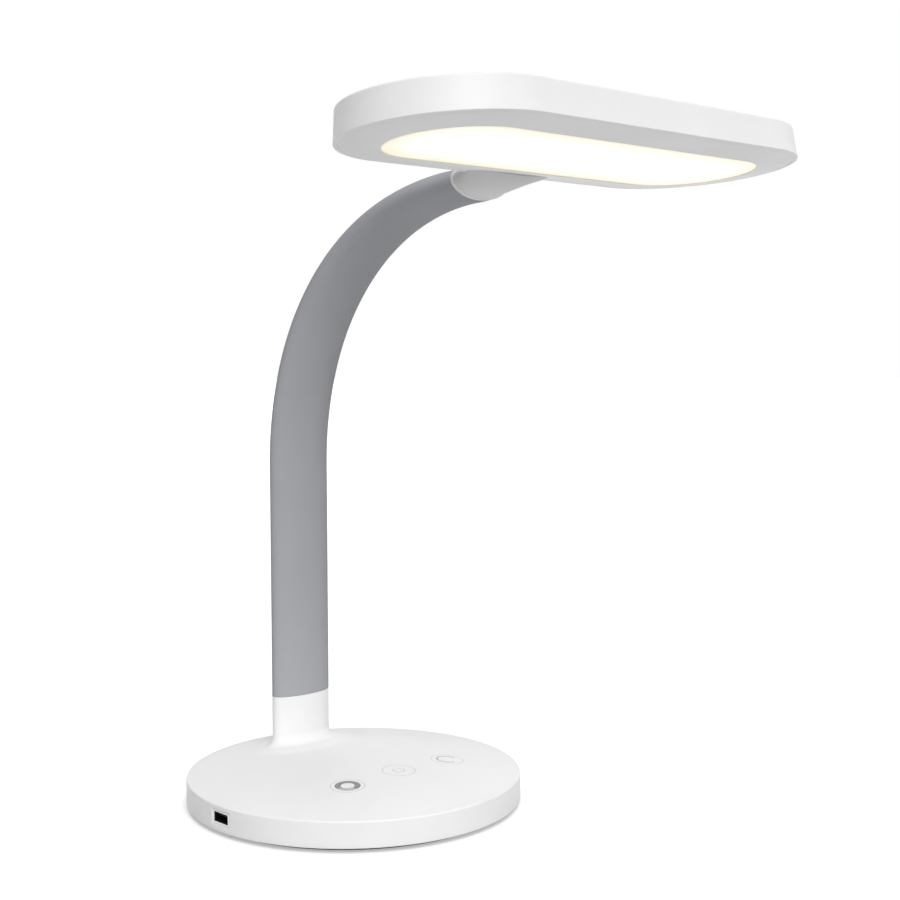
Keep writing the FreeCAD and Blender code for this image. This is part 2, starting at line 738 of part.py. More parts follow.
def relief(kind):
    """What a segment's sleeve gives up at an end so that it can fold there."""
    reach = size("neck_width")
    if kind == FIXED:
        return None
    if kind == SWIVEL:
        gap = size("swivel_gap")
        return Part.makeBox(2 * reach, 2 * reach, reach + gap, Vector(-reach, -reach, -reach))
    fold = math.tan(math.radians(size(f"{kind}_fold_angle / 2 + spare_angle")))
    unfold = math.tan(math.radians(size(f"{kind}_open_angle / 2 + spare_angle")))
    outline = [Vector(-reach, 0, 0), Vector(-reach, reach, reach * unfold), Vector(-reach, reach, -reach),
               Vector(-reach, -reach, -reach), Vector(-reach, -reach, reach * fold)]
    return Part.Face(Part.makePolygon(outline + outline[:1])).extrude(Vector(2 * reach, 0, 0))


def flipped(shape):
    """The same cut for a segment's upper end."""
    return shape.mirror(Vector(0, 0, 0), Vector(0, 0, 1))


def sleeve_shape(segment, lower_end, upper_end):
    """Soft oval sleeve of one segment."""
    outer = segment.sweep(oval_face(size("neck_width"), size("neck_thick")), 0, segment.length)
    inner = segment.sweep(core_face(), 0, segment.length)
    sleeve = outer.cut(inner)
    if relief(lower_end):
        sleeve = sleeve.cut(relief(lower_end))
    if relief(upper_end):
        tool = flipped(relief(upper_end))
        tool.Placement = segment.at(segment.length)
        sleeve = sleeve.cut(tool)
    return sleeve


def along_x(diameter, begin, finish, place_at):
    """Cylinder along X between two places."""
    rod = Part.makeCylinder(diameter / 2, finish - begin, Vector(begin, 0, 0), AXIS_X)
    rod.Placement = place_at.multiply(rod.Placement)
    return rod


def along_z(diameter, begin, finish, place_at):
    """Cylinder along the neck between two distances from a place."""
    rod = Part.makeCylinder(diameter / 2, finish - begin, Vector(0, 0, begin))
    rod.Placement = place_at.multiply(rod.Placement)
    return rod


def fork_lugs(segment):
    """The two outer lugs at a link's lower end."""
    outside = size("link_width / 2")
    inside = size("middle_lug / 2 + lug_gap")
    set_back = size("knuckle_diameter / 2 + knuckle_gap")
    parts = []
    for side in (-1, 1):
        face = rectangle(outside - inside, size("link_thick"), side * (outside + inside) / 2)
        parts.append(segment.sweep(face, 0, set_back + size("overshoot")))
        begin, finish = sorted((side * inside, side * outside))
        parts.append(along_x(size("knuckle_diameter"), begin, finish, segment.at(0)))
    return parts


def middle_lug(segment):
    """The single lug at a link's upper end."""
    half = size("middle_lug / 2")
    set_back = size("knuckle_diameter / 2 + knuckle_gap")
    face = rectangle(2 * half, size("link_thick"))
    shank = segment.sweep(face, segment.length - set_back - size("overshoot"), segment.length)
    return [shank, along_x(size("knuckle_diameter"), -half, half, segment.at(segment.length))]


def link_shape(segment, lower_end, upper_end):
    """Steel link of one segment with its knuckles or swivel blocks."""
    set_back = size("knuckle_diameter / 2 + knuckle_gap")
    gap = size("swivel_gap")
    tall = size("swivel_height")
    reach = size("link_width")
    begin = set_back
    finish = segment.length - set_back
    parts = []
    holes = []
    block = rectangle(size("link_width"), size("swivel_thick"))
    if lower_end == FIXED:
        begin = size(f"{BALLAST_TOP} + anchor_thick + hole_gap - {FOOT_TOP}")
    elif lower_end == SWIVEL:
        begin = gap
        parts.append(segment.sweep(block, gap, gap + tall))
        holes.append(along_z(size("swivel_pin + 2 * running_gap"), 0, gap + tall, segment.at(0)))
    else:
        parts += fork_lugs(segment)
        holes.append(along_x(size("hinge_pin"), -reach, reach, segment.at(0)))
    if upper_end == FIXED:
        finish = segment.length
    elif upper_end == SWIVEL:
        finish = segment.length - gap
        parts.append(segment.sweep(block, segment.length - gap - tall, segment.length - gap))
        holes.append(along_z(size("swivel_pin"), -gap - tall, 0, segment.at(segment.length)))
    else:
        parts += middle_lug(segment)
        holes.append(along_x(size("hinge_pin + 2 * running_gap"), -reach, reach, segment.at(segment.length)))
    bar = segment.sweep(rectangle(size("link_width"), size("link_thick")), begin, finish)
    if lower_end == FIXED:
        for formula in cheek_screw_levels():
            middle = Vector(0, -reach, size(f"{formula} - {FOOT_TOP}"))
            holes.append(Part.makeCylinder(size("screw_shank / 2"), 2 * reach, middle, Vector(0, 1, 0)))
    solid = bar.multiFuse(parts) if parts else bar
    return solid.cut(holes[0].multiFuse(holes[1:]) if holes[1:] else holes[0]).removeSplitter()


def lead_shape(segment, lower_end, upper_end):
    """Two insulated wires beside the link."""
    gap = size("lead_end")
    begin = gap if lower_end != FIXED else size(f"{BALLAST_TOP} + anchor_thick + lead_end - {FOOT_TOP}")
    finish = segment.length - (gap if upper_end != FIXED else 0)
    offset = size("link_width / 2 + lead_gap + lead_diameter / 2")
    wires = []
    for side in (-1, 1):
        disc = Part.Face(Part.Wire(Part.makeCircle(size("lead_diameter / 2"), Vector(side * offset, 0, 0))))
        wires.append(segment.sweep(disc, begin, finish))
    return Part.makeCompound(wires)


def make_neck():
    """Sleeves, links, leads and pins of all segments."""
    for index, segment in enumerate(SEGMENTS):
        ends = ENDS[index], ENDS[index + 1]
        count = index + 1
        sleeve = sleeve_shape(segment, *ends)
        node(f"neck_sleeve_{count}", feature(f"neck_sleeve_{count}", sleeve, segment.start))
        link = link_shape(segment, *ends)
        if index == len(SEGMENTS) - 1:
            link = link.fuse(tongue_shape(segment)).removeSplitter().cut(tongue_holes(segment))
        node(f"neck_link_{count}", feature(f"neck_link_{count}", link, segment.start))
        lead = lead_shape(segment, *ends)
        node(f"neck_lead_{count}", feature(f"neck_lead_{count}", lead, segment.start))
        if ends[0] == SWIVEL:
            reach = size("swivel_height - swivel_gap")
            pin = Part.makeCylinder(size("swivel_pin / 2"), 2 * reach, Vector(0, 0, -reach))
            node("swivel_pin", feature("swivel_pin_rod", pin, segment.start))
        elif ends[0] != FIXED:
            half = size("link_width / 2")
            pin = Part.makeCylinder(size("hinge_pin / 2"), 2 * half, Vector(-half, 0, 0), AXIS_X)
            node(f"hinge_pin_{index}", feature(f"hinge_rod_{index}", pin, segment.start))


# ---------------------------------------------------------------------------------------------------------
# Head: everything is drawn in the head's frame, whose origin is the centre of its lower outline
# ---------------------------------------------------------------------------------------------------------
def head_frame():
    """Placement of the head, hung on the neck's end by the collar."""
    end = SEGMENTS[-1].end.Base
    turn = Rotation(AXIS_X, -size("head_tilt"))
    back_edge = Vector(0, end.y - size("collar_length"), end.z + size("collar_rise"))
    return Placement(back_edge - turn.multVec(Vector(0, size("head_width / 2"), 0)), turn)


HEAD = head_frame()
NECK_END = HEAD.inverse().multiply(SEGMENTS[-1].end)
LENS_FACE = "(lens_recess - bezel_drop)"
LENS_BACK = f"({LENS_FACE} + lens_thick)"
GUIDE_LOW = f"({LENS_BACK} + layer_gap)"
SHEET_LOW = f"({GUIDE_LOW} + guide_thick + layer_gap)"
TRAY_LOW = f"({SHEET_LOW} + sheet_thick + layer_gap)"
BRACKET_LOW = "(tongue_level + tongue_thick)"
TONGUE_FRONT = "(head_width / 2 - head_wall - tongue_length)"
BRACKET_Y = f"({TONGUE_FRONT} + tongue_length - bracket_setback - bracket_width / 2)"


def stadium_sketch(body, name, length, width, level="0"):
    """Sketch of a stadium: two straight sides and two half-round ends."""
    sketch = body.newObject("Sketcher::SketchObject", name)
    plane = next(item for item in body.Origin.OriginFeatures if item.Role == "XY_Plane")
    sketch.AttachmentSupport = [(plane, "")]
    sketch.MapMode = "FlatFace"
    bind(sketch, AttachmentOffset__Base__z=level)
    radius = size(width) / 2
    half = size(length) / 2 - radius
    quarter = math.pi / 2
    sketch.addGeometry(Part.LineSegment(Vector(-half, -radius, 0), Vector(half, -radius, 0)))
    sketch.addGeometry(Part.LineSegment(Vector(half, radius, 0), Vector(-half, radius, 0)))
    for centre, begin in ((half, -quarter), (-half, quarter)):
        circle = Part.Circle(Vector(centre, 0, 0), Vector(0, 0, 1), radius)
        sketch.addGeometry(Part.ArcOfCircle(circle, begin, begin + 2 * quarter))
    for line, arc in ((0, 2), (1, 3)):
        sketch.addConstraint(Sketcher.Constraint("Tangent", line, 2, arc, 1))
        sketch.addConstraint(Sketcher.Constraint("Tangent", arc, 2, 1 - line, 1))
    sketch.addConstraint(Sketcher.Constraint("Horizontal", 0))
    sketch.addConstraint(Sketcher.Constraint("Symmetric", 2, 3, 3, 3, -1, 1))
    radius_row = sketch.addConstraint(Sketcher.Constraint("Radius", 2, radius))
    sketch.renameConstraint(radius_row, "end_radius")
    span_row = sketch.addConstraint(Sketcher.Constraint("DistanceX", 3, 3, 2, 3, 2 * half))
    sketch.renameConstraint(span_row, "centre_span")
    bind(sketch, Constraints__end_radius=f"({width}) / 2",
         Constraints__centre_span=f"({length}) - ({width})")
    return sketch


def hung(body):
    """Place a head piece with the head."""
    body.Placement = HEAD
    return body


def new_body(name):
    """Empty PartDesign body."""
    return document.addObject("PartDesign::Body", name)


def loft(body, kind, name, low, high):
    """Additive or subtractive loft between two sketches of one body."""
    thing = body.newObject(f"PartDesign::{kind}Loft", name)
    thing.Profile = low
    thing.Sections = [high]
    thing.Ruled = True
    return thing


def pad(body, name, sketch, length):
    """Pad of a sketch."""
    thing = body.newObject("PartDesign::Pad", name)
    thing.Profile = sketch
    return bind(thing, Length=length)


def pocket(body, name, sketch, length, reverse=True):
    """Pocket of a sketch, upwards when reversed."""
    thing = body.newObject("PartDesign::Pocket", name)
    thing.Profile = sketch
    thing.Reversed = reverse
    return bind(thing, Length=length)


def narrowed(amount):
    """Formulas of the head's lower outline, narrowed all round."""
    return f"head_length - 2 * ({amount})", f"head_width - 2 * ({amount})"


def make_head_cover():
    """Shallow white housing with drafted sides, open below, with posts for the bracket."""
    body = new_body("head_cover_body")
    shoulder = "head_thick - head_edge"
    low = stadium_sketch(body, "cover_low", *narrowed("0"))
    high = stadium_sketch(body, "cover_high", *narrowed("head_draft"), shoulder)
    loft(body, "Additive", "cover_sides", low, high)
    rim = stadium_sketch(body, "cover_shoulder", *narrowed("head_draft"), shoulder)
    top = stadium_sketch(body, "cover_top", *narrowed("head_draft + head_edge"), "head_thick")
    loft(body, "Additive", "cover_edge", rim, top)
    inner_low = stadium_sketch(body, "cover_inner_low", *narrowed("head_wall"))
    inner_high = stadium_sketch(body, "cover_inner_high", *narrowed("head_wall + head_draft"),
                                "head_thick - head_wall")
    loft(body, "Subtractive", "cover_inner", inner_low, inner_high)
    hung(body)
    document.recompute()
    posts = []
    pilots = []
    top = "head_thick - head_wall"
    for index, (x, y) in enumerate(bracket_screw_points()):
        posts.append(cylinder(f"head_post_{index}", "boss_diameter",
                              f"{top} + overshoot - {BRACKET_LOW} - bracket_thick", x, y,
                              f"{BRACKET_LOW} + bracket_thick"))
        pilots.append(cylinder(f"head_pilot_{index}", "screw_shank", "head_screw_bite + pilot_spare", x, y,
                               f"{BRACKET_LOW} + bracket_thick"))
    slot = box("tongue_slot", "2 * (link_width / 2 + 2 * lead_gap + lead_diameter)", "3 * head_wall",
               "tongue_thick + 2 * hole_gap", "0", "head_width / 2 - head_wall / 2",
               "tongue_level - hole_gap")
    local = cut("head_posts_bored", fuse("head_posts", *posts), *pilots)
    document.recompute()
    shell = body.Shape.copy()
    shell.Placement = Placement()
    solid = shell.fuse(local.Shape).cut(slot.Shape)
    node("head_cover", feature("head_cover", solid, HEAD))


def bracket_screw_points():
    """Formulas of the four bracket screws in the head's frame."""
    return [(f"{side} * bracket_screw_pitch / 2", f"{BRACKET_Y} + {end} * bracket_screw_pitch_deep / 2")
            for side in (-1, 1) for end in (-1, 1)]


def tongue_screw_points():
    """Formulas of the two screws that hold the tongue to the bracket."""
    return [(f"{side} * link_width / 4", f"{TONGUE_FRONT} + tongue_screw_inset") for side in (-1, 1)]


def make_bezel():
    """Shallow dished frame around the lens."""
    body = new_body("head_bezel")
    rim = "head_wall + bezel_fit"
    low = stadium_sketch(body, "bezel_lens_edge", "lens_length", "lens_width", "-bezel_drop")
    high = stadium_sketch(body, "bezel_outer_edge", *narrowed(rim))
    loft(body, "Additive", "bezel_dish", low, high)
    slope = "head_draft * bezel_thick / (head_thick - head_wall)"
    skirt = stadium_sketch(body, "bezel_skirt_outline", *narrowed(f"{rim} + {slope}"))
    pad(body, "bezel_skirt", skirt, "bezel_thick")
    seat = stadium_sketch(body, "bezel_seat", "lens_length + 2 * lens_lip + 2 * lens_fit",
                          "lens_width + 2 * lens_lip + 2 * lens_fit", f"{LENS_FACE} + lens_thick / 2")
    pocket(body, "bezel_seat_pocket", seat, "bezel_drop + bezel_thick")
    opening = stadium_sketch(body, "bezel_opening", "lens_length - 2 * lens_rebate + 2 * lens_fit",
                             "lens_width - 2 * lens_rebate + 2 * lens_fit", "-bezel_drop - overshoot")
    pocket(body, "bezel_opening_pocket", opening, "bezel_drop + bezel_thick + 2 * overshoot")
    node("head_bezel", hung(body))


def make_lens():
    """Milky diffuser with a stepped edge that rests in the bezel."""
    body = new_body("lens_diffuser")
    face = stadium_sketch(body, "lens_face", "lens_length - 2 * lens_rebate", "lens_width - 2 * lens_rebate",
                          LENS_FACE)
    pad(body, "lens_front", face, "lens_thick")
    lip = stadium_sketch(body, "lens_lip_outline", "lens_length + 2 * lens_lip", "lens_width + 2 * lens_lip",
                         f"{LENS_FACE} + lens_thick / 2")
    pad(body, "lens_lip_pad", lip, "lens_thick / 2")
    node("lens_diffuser", hung(body))


def make_stack_layer(name, level, thick, extra):
    """Flat stadium sheet behind the lens."""
    body = new_body(name)
    outline = stadium_sketch(body, name + "_outline", f"lens_length + 2 * ({extra})",
                             f"lens_width + 2 * ({extra})", level)
    pad(body, name + "_pad", outline, thick)
    node(name, hung(body))


def make_led_strips():
    """Front and rear strips of small lamps that shine into the light guide's long edges."""
    count = int(size("strip_length") // size("led_pitch"))
    pitch = size("led_pitch")
    strips = []
    edge = "lens_width / 2"
    for side, word in ((-1, "front"), (1, "rear")):
        y = f"{side} * ({edge} + layer_gap + led_thick + strip_thick / 2)"
        board = box(f"strip_{word}", "strip_length", "strip_thick", "guide_thick", "0", y, GUIDE_LOW)
        leds = [box(f"led_{word}_{index}", "led_size", "led_thick", "led_size",
                    f"{(index - (count - 1) / 2) * pitch!r}",
                    f"{side} * ({edge} + layer_gap + led_thick / 2)",
                    f"{GUIDE_LOW} + (guide_thick - led_size) / 2") for index in range(count)]
        strips.append(fuse(f"led_strip_{word}", board, *leds))
    strip_group = group("led_strips", *strips)
    hung(strip_group)
    node("led_strips", strip_group)


def tongue_shape(segment):
    """Cranked end of the last link: it rises through the cover's back wall and lies along the bracket."""
    half = size("tongue_thick") / 2
    entry = NECK_END.Base
    bury = size("overshoot")
    level = size("tongue_level + tongue_thick / 2")
    wall = size("head_width / 2 + crank_gap")
    front = size(TONGUE_FRONT)
    middle = [Vector(0, entry.y + bury, entry.z), Vector(0, entry.y - bury, entry.z),
              Vector(0, wall, level), Vector(0, front, level)]
    above = [point + Vector(0, 0, half) for point in middle]
    below = [point - Vector(0, 0, half) for point in middle]
    outline = above + below[::-1]
    width = size("link_width")
    solid = Part.Face(Part.makePolygon(outline + outline[:1])).extrude(Vector(width, 0, 0))
    solid.translate(Vector(-width / 2, 0, 0))
    solid.Placement = segment.start.inverse().multiply(HEAD).multiply(solid.Placement)
    return solid


def tongue_holes(segment):
    """Screw holes in the tongue."""
    radius = size("(screw_shank + hole_gap) / 2")
    holes = [Part.makeCylinder(radius, size("head_thick"), Vector(size(x), size(y), 0))
             for x, y in tongue_screw_points()]
    tool = holes[0].fuse(holes[1])
    tool.Placement = segment.start.inverse().multiply(HEAD)
    return tool


def make_bracket():
    """Steel bracket across the head that carries the head on the tongue, and its screws."""
    plate = box("bracket_blank", "bracket_length", "bracket_width", "bracket_thick", "0", BRACKET_Y,
                BRACKET_LOW)
    deep = "bracket_thick + 2 * overshoot"
    low = f"{BRACKET_LOW} - overshoot"
    holes = [cylinder(f"bracket_hole_{index}", "screw_shank + hole_gap", deep, x, y, low)
             for index, (x, y) in enumerate(bracket_screw_points())]
    threads = [cylinder(f"bracket_thread_{index}", "screw_shank", deep, x, y, low)
               for index, (x, y) in enumerate(tongue_screw_points())]
    node("head_bracket", hung(cut("head_bracket", plate, *holes, *threads)))
    screws = []
    for index, (x, y) in enumerate(bracket_screw_points()):
        head = cylinder(f"head_screw_cap_{index}", "screw_head", "cap_thick", x, y,
                        f"{BRACKET_LOW} - cap_thick")
        shank = cylinder(f"head_screw_shank_{index}", "screw_shank", "bracket_thick + head_screw_bite", x, y,
                         BRACKET_LOW)
        screws.append(fuse(f"head_screw_{index}", head, shank))
    for index, (x, y) in enumerate(tongue_screw_points()):
        head = cylinder(f"tongue_screw_cap_{index}", "screw_head", "cap_thick", x, y,
                        "tongue_level - cap_thick")
        shank = cylinder(f"tongue_screw_shank_{index}", "screw_shank", "tongue_thick + bracket_thick", x, y,
                         "tongue_level")
        screws.append(fuse(f"tongue_screw_{index}", head, shank))
    node("head_screws", hung(group("head_screws", *screws)))


def head_envelope():
    """Solid block that the closed head fills, for fitting the collar to it."""
    long, wide = size("head_length"), size("head_width")
    draft = size("2 * head_draft")
    rim = size("2 * (head_wall + bezel_fit)")
    low = stadium_wire(long, wide, 0)
    high = stadium_wire(long - draft, wide - draft, size("head_thick"))
    dish_high = stadium_wire(long - rim, wide - rim, 0)
    dish_low = stadium_wire(size("lens_length"), size("lens_width"), -size("bezel_drop"))
    block = Part.makeLoft([low, high], True, True)
    return block.fuse(Part.makeLoft([dish_low, dish_high], True, True))


def collar_sections(wall):
    """Ovals of the collar from the sleeve's end to its tip under the bezel, in the neck end's frame."""
    rows = [
        ("0", "0", "neck_width", "neck_thick"),
        ("collar_middle_run", "collar_middle_lift", "collar_middle_width", "collar_middle_thick"),
        ("collar_length", "collar_rise + collar_back_lift", "collar_back_width", "collar_back_thick"),
        ("collar_length + collar_reach", "collar_rise + collar_tip_lift", "collar_width",
         "collar_tip_thick"),
    ]
    wires = []
    for forward, lift, across, thick in rows:
        ellipse = Part.Ellipse(Vector(0, 0, 0), size(across) / 2 - wall, size(thick) / 2 - wall)
        wire = Part.Wire(ellipse.toShape())
        wire.Placement = Placement(Vector(0, size(lift), size(forward)), Rotation())
        wires.append(wire)
    return wires


def make_collar():
    """Flared collar that joins the neck's end to the head."""
    outer = Part.makeLoft(collar_sections(0.0), True, False)
    inner = Part.makeLoft(collar_sections(size("collar_wall")), True, False)
    envelope = head_envelope()
    envelope.Placement = NECK_END.inverse().multiply(envelope.Placement)
    solid = outer.cut(inner).cut(envelope)
    pieces = sorted(solid.Solids, key=lambda piece: piece.Volume)
    node("neck_collar", feature("neck_collar", pieces[-1], HEAD.multiply(NECK_END)))


def make_head():
    """All pieces of the head."""
    make_head_cover()
    make_bezel()
    make_lens()
    make_stack_layer("light_guide", GUIDE_LOW, "guide_thick", "0")
    make_stack_layer("reflector_sheet", SHEET_LOW, "sheet_thick", "lens_lip")
    make_stack_layer("backing_tray", TRAY_LOW, "tray_thick", "lens_lip")
    make_led_strips()
    make_bracket()
    make_collar()


# ---------------------------------------------------------------------------------------------------------
# Build, check and write
# ---------------------------------------------------------------------------------------------------------
def make_base():
    """All pieces of the base."""
    make_base_cover()
    make_base_plate()
    make_ballast()
    make_rest_pad()
    make_base_screws()
    make_touch_marks()
    make_boards()
    make_usb_port()
    make_power_inlet()
    make_neck_anchor()


def check(things):
    """Stop if any object failed or any sub-part has no valid solid."""
    for item in document.Objects:
        if "Invalid" in item.State or "Error" in item.State:
            raise RuntimeError(f"{item.Name} failed: {item.State}")
    for item in things:
        if item.Shape.isNull() or not item.Shape.isValid() or not item.Shape.Solids:
            raise RuntimeError(f"{item.Label} has no valid solid")


def main():
    """Build the lamp and write each sub-part."""
    make_base()
    make_neck()
    make_head()
    document.recompute()
    check(NODES)
    os.makedirs("parts", exist_ok=True)
    for item in NODES:
        item.Shape.exportStep(f"parts/{item.Label}.step")
        bounds = item.Shape.BoundBox
        print(f"{item.Label:18s} solids {len(item.Shape.Solids):2d} volume {item.Shape.Volume:10.1f} "
              f"z {bounds.ZMin:7.2f} {bounds.ZMax:7.2f}")
    print(len(NODES), "sub-parts")


main()
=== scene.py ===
"""Light therapy lamp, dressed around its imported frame.

The lamp stands on a round white base with three touch controls. A flat-oval grey sleeve rises from the
base's foot, bends forward and ends in a collar that carries a shallow stadium-shaped light panel.

Every size is in metres, in the row frame: +Z up, the neck at the back (+Y), the panel over the front (-Y).
"""

import logging
import math
from dataclasses import dataclass, field
from enum import Enum
from typing import Callable, Iterable, Sequence, Union

import bmesh
import bpy
from mathutils import Matrix, Vector
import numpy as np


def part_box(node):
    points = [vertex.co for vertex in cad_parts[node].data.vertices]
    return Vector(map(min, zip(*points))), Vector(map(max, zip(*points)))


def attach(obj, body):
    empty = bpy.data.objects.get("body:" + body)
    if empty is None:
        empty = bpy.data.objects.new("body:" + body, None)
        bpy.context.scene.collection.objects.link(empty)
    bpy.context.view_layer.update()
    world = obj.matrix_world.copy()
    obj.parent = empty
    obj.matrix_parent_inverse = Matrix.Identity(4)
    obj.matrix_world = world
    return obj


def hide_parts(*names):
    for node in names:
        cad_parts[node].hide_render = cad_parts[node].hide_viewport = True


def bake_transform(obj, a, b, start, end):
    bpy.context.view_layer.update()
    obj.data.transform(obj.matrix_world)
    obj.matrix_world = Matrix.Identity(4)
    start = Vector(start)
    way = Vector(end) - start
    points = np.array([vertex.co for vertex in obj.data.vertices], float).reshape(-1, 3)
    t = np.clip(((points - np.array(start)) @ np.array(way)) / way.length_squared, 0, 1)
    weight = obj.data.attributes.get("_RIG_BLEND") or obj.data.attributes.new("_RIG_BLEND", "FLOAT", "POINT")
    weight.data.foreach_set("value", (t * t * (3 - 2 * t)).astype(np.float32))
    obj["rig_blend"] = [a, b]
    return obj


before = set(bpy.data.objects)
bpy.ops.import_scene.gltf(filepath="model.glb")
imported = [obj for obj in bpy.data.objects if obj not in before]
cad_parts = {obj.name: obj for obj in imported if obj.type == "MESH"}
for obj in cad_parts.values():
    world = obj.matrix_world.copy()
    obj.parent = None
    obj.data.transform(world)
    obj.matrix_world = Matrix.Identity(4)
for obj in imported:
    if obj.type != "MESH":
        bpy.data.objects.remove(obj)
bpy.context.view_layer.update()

LOG = logging.getLogger("lamp")
MM = 0.001

Triple = tuple[float, float, float]
Colour = Triple
Value = Union[float, Triple, "Wire"]


# ---------------------------------------------------------------------------------------------------------
# Colours and named choices
# ---------------------------------------------------------------------------------------------------------
def paint(red: float, green: float, blue: float) -> Colour:
    """Turn a colour as seen on a screen into the linear colour a shader works with.

    Args:
        red: Red from 0 to 255.
        green: Green from 0 to 255.
        blue: Blue from 0 to 255.

    Returns:
        The linear colour.
    """
    def linear(level: float) -> float:
        """Undo the screen's tone curve for one channel."""
        share = level / 255
        return share / 12.92 if share <= 0.04045 else ((share + 0.055) / 1.055) ** 2.4

    return linear(red), linear(green), linear(blue)


class Body(Enum):
    """Moving bodies of the lamp, from the base to the head."""

    BASE = "base"
    NECK_2 = "neck_2"
    NECK_3 = "neck_3"
    NECK_4 = "neck_4"
    NECK_5 = "neck_5"
    NECK_6 = "neck_6"
    NECK_7 = "neck_7"
    HEAD = "head"


class Slot(Enum):
    """Materials in the lamp's record that new pieces are made of."""

    WHITE_SHELL = "white_shell"
    COLLAR = "collar"
    SLEEVE = "sleeve"
    LENS = "lens"
    MARK = "mark"
    MARK_LIGHT = "mark_light"


# ---------------------------------------------------------------------------------------------------------
# Shader writing
# ---------------------------------------------------------------------------------------------------------
class Wire:
    """A shader output that takes part in ordinary arithmetic."""

    def __init__(self, graph: "Graph", socket: Union[bpy.types.NodeSocket, None]) -> None:
        """Keep the graph and the output.

        Args:
            graph: Graph that new nodes go into.
            socket: Output that this wire stands for; an output node has none.
        """
        self.graph = graph
        self.socket = socket

    def _with(self, operation: str, *values: Value) -> "Wire":
        """Add one Math node.

        Args:
            operation: The Math node's operation.
            values: Its inputs in order.

        Returns:
            The node's result.
        """
        return self.graph.node("ShaderNodeMath", {"operation": operation}, dict(enumerate(values)))

    def __add__(self, other: Value) -> "Wire":
        """Sum."""
        return self._with("ADD", self, other)

    def __radd__(self, other: Value) -> "Wire":
        """Sum with a number on the left."""
        return self._with("ADD", other, self)

    def __sub__(self, other: Value) -> "Wire":
        """Difference."""
        return self._with("SUBTRACT", self, other)

    def __rsub__(self, other: Value) -> "Wire":
        """Difference from a number on the left."""
        return self._with("SUBTRACT", other, self)

    def __mul__(self, other: Value) -> "Wire":
        """Product."""
        return self._with("MULTIPLY", self, other)

    def __rmul__(self, other: Value) -> "Wire":
        """Product with a number on the left."""
        return self._with("MULTIPLY", other, self)

    def __pow__(self, other: Value) -> "Wire":
        """Power."""
        return self._with("POWER", self, other)

    def size(self) -> "Wire":
        """Absolute value."""
        return self._with("ABSOLUTE", self)

    def most(self, other: Value) -> "Wire":
        """Larger of two values."""
        return self._with("MAXIMUM", self, other)

    def rise(self, low: float, high: float) -> "Wire":
        """Smooth step from 0 at low to 1 at high.

        Args:
            low: Value at which the step starts.
            high: Value at which the step ends.

        Returns:
            The step.
        """
        return self.graph.node("ShaderNodeMapRange", {"interpolation_type": "SMOOTHSTEP", "clamp": True},
                               {"Value": self, "From Min": low, "From Max": high})

    def band(self, middle: float, half: float, soft: float) -> "Wire":
        """Mask that is 1 within half of a middle value.

        Args:
            middle: Value in the middle of the band.
            half: Half of the band's width.
            soft: Width of its soft edge.

        Returns:
            The mask.
        """
        return 1 - (self - middle).size().rise(half, half + soft)


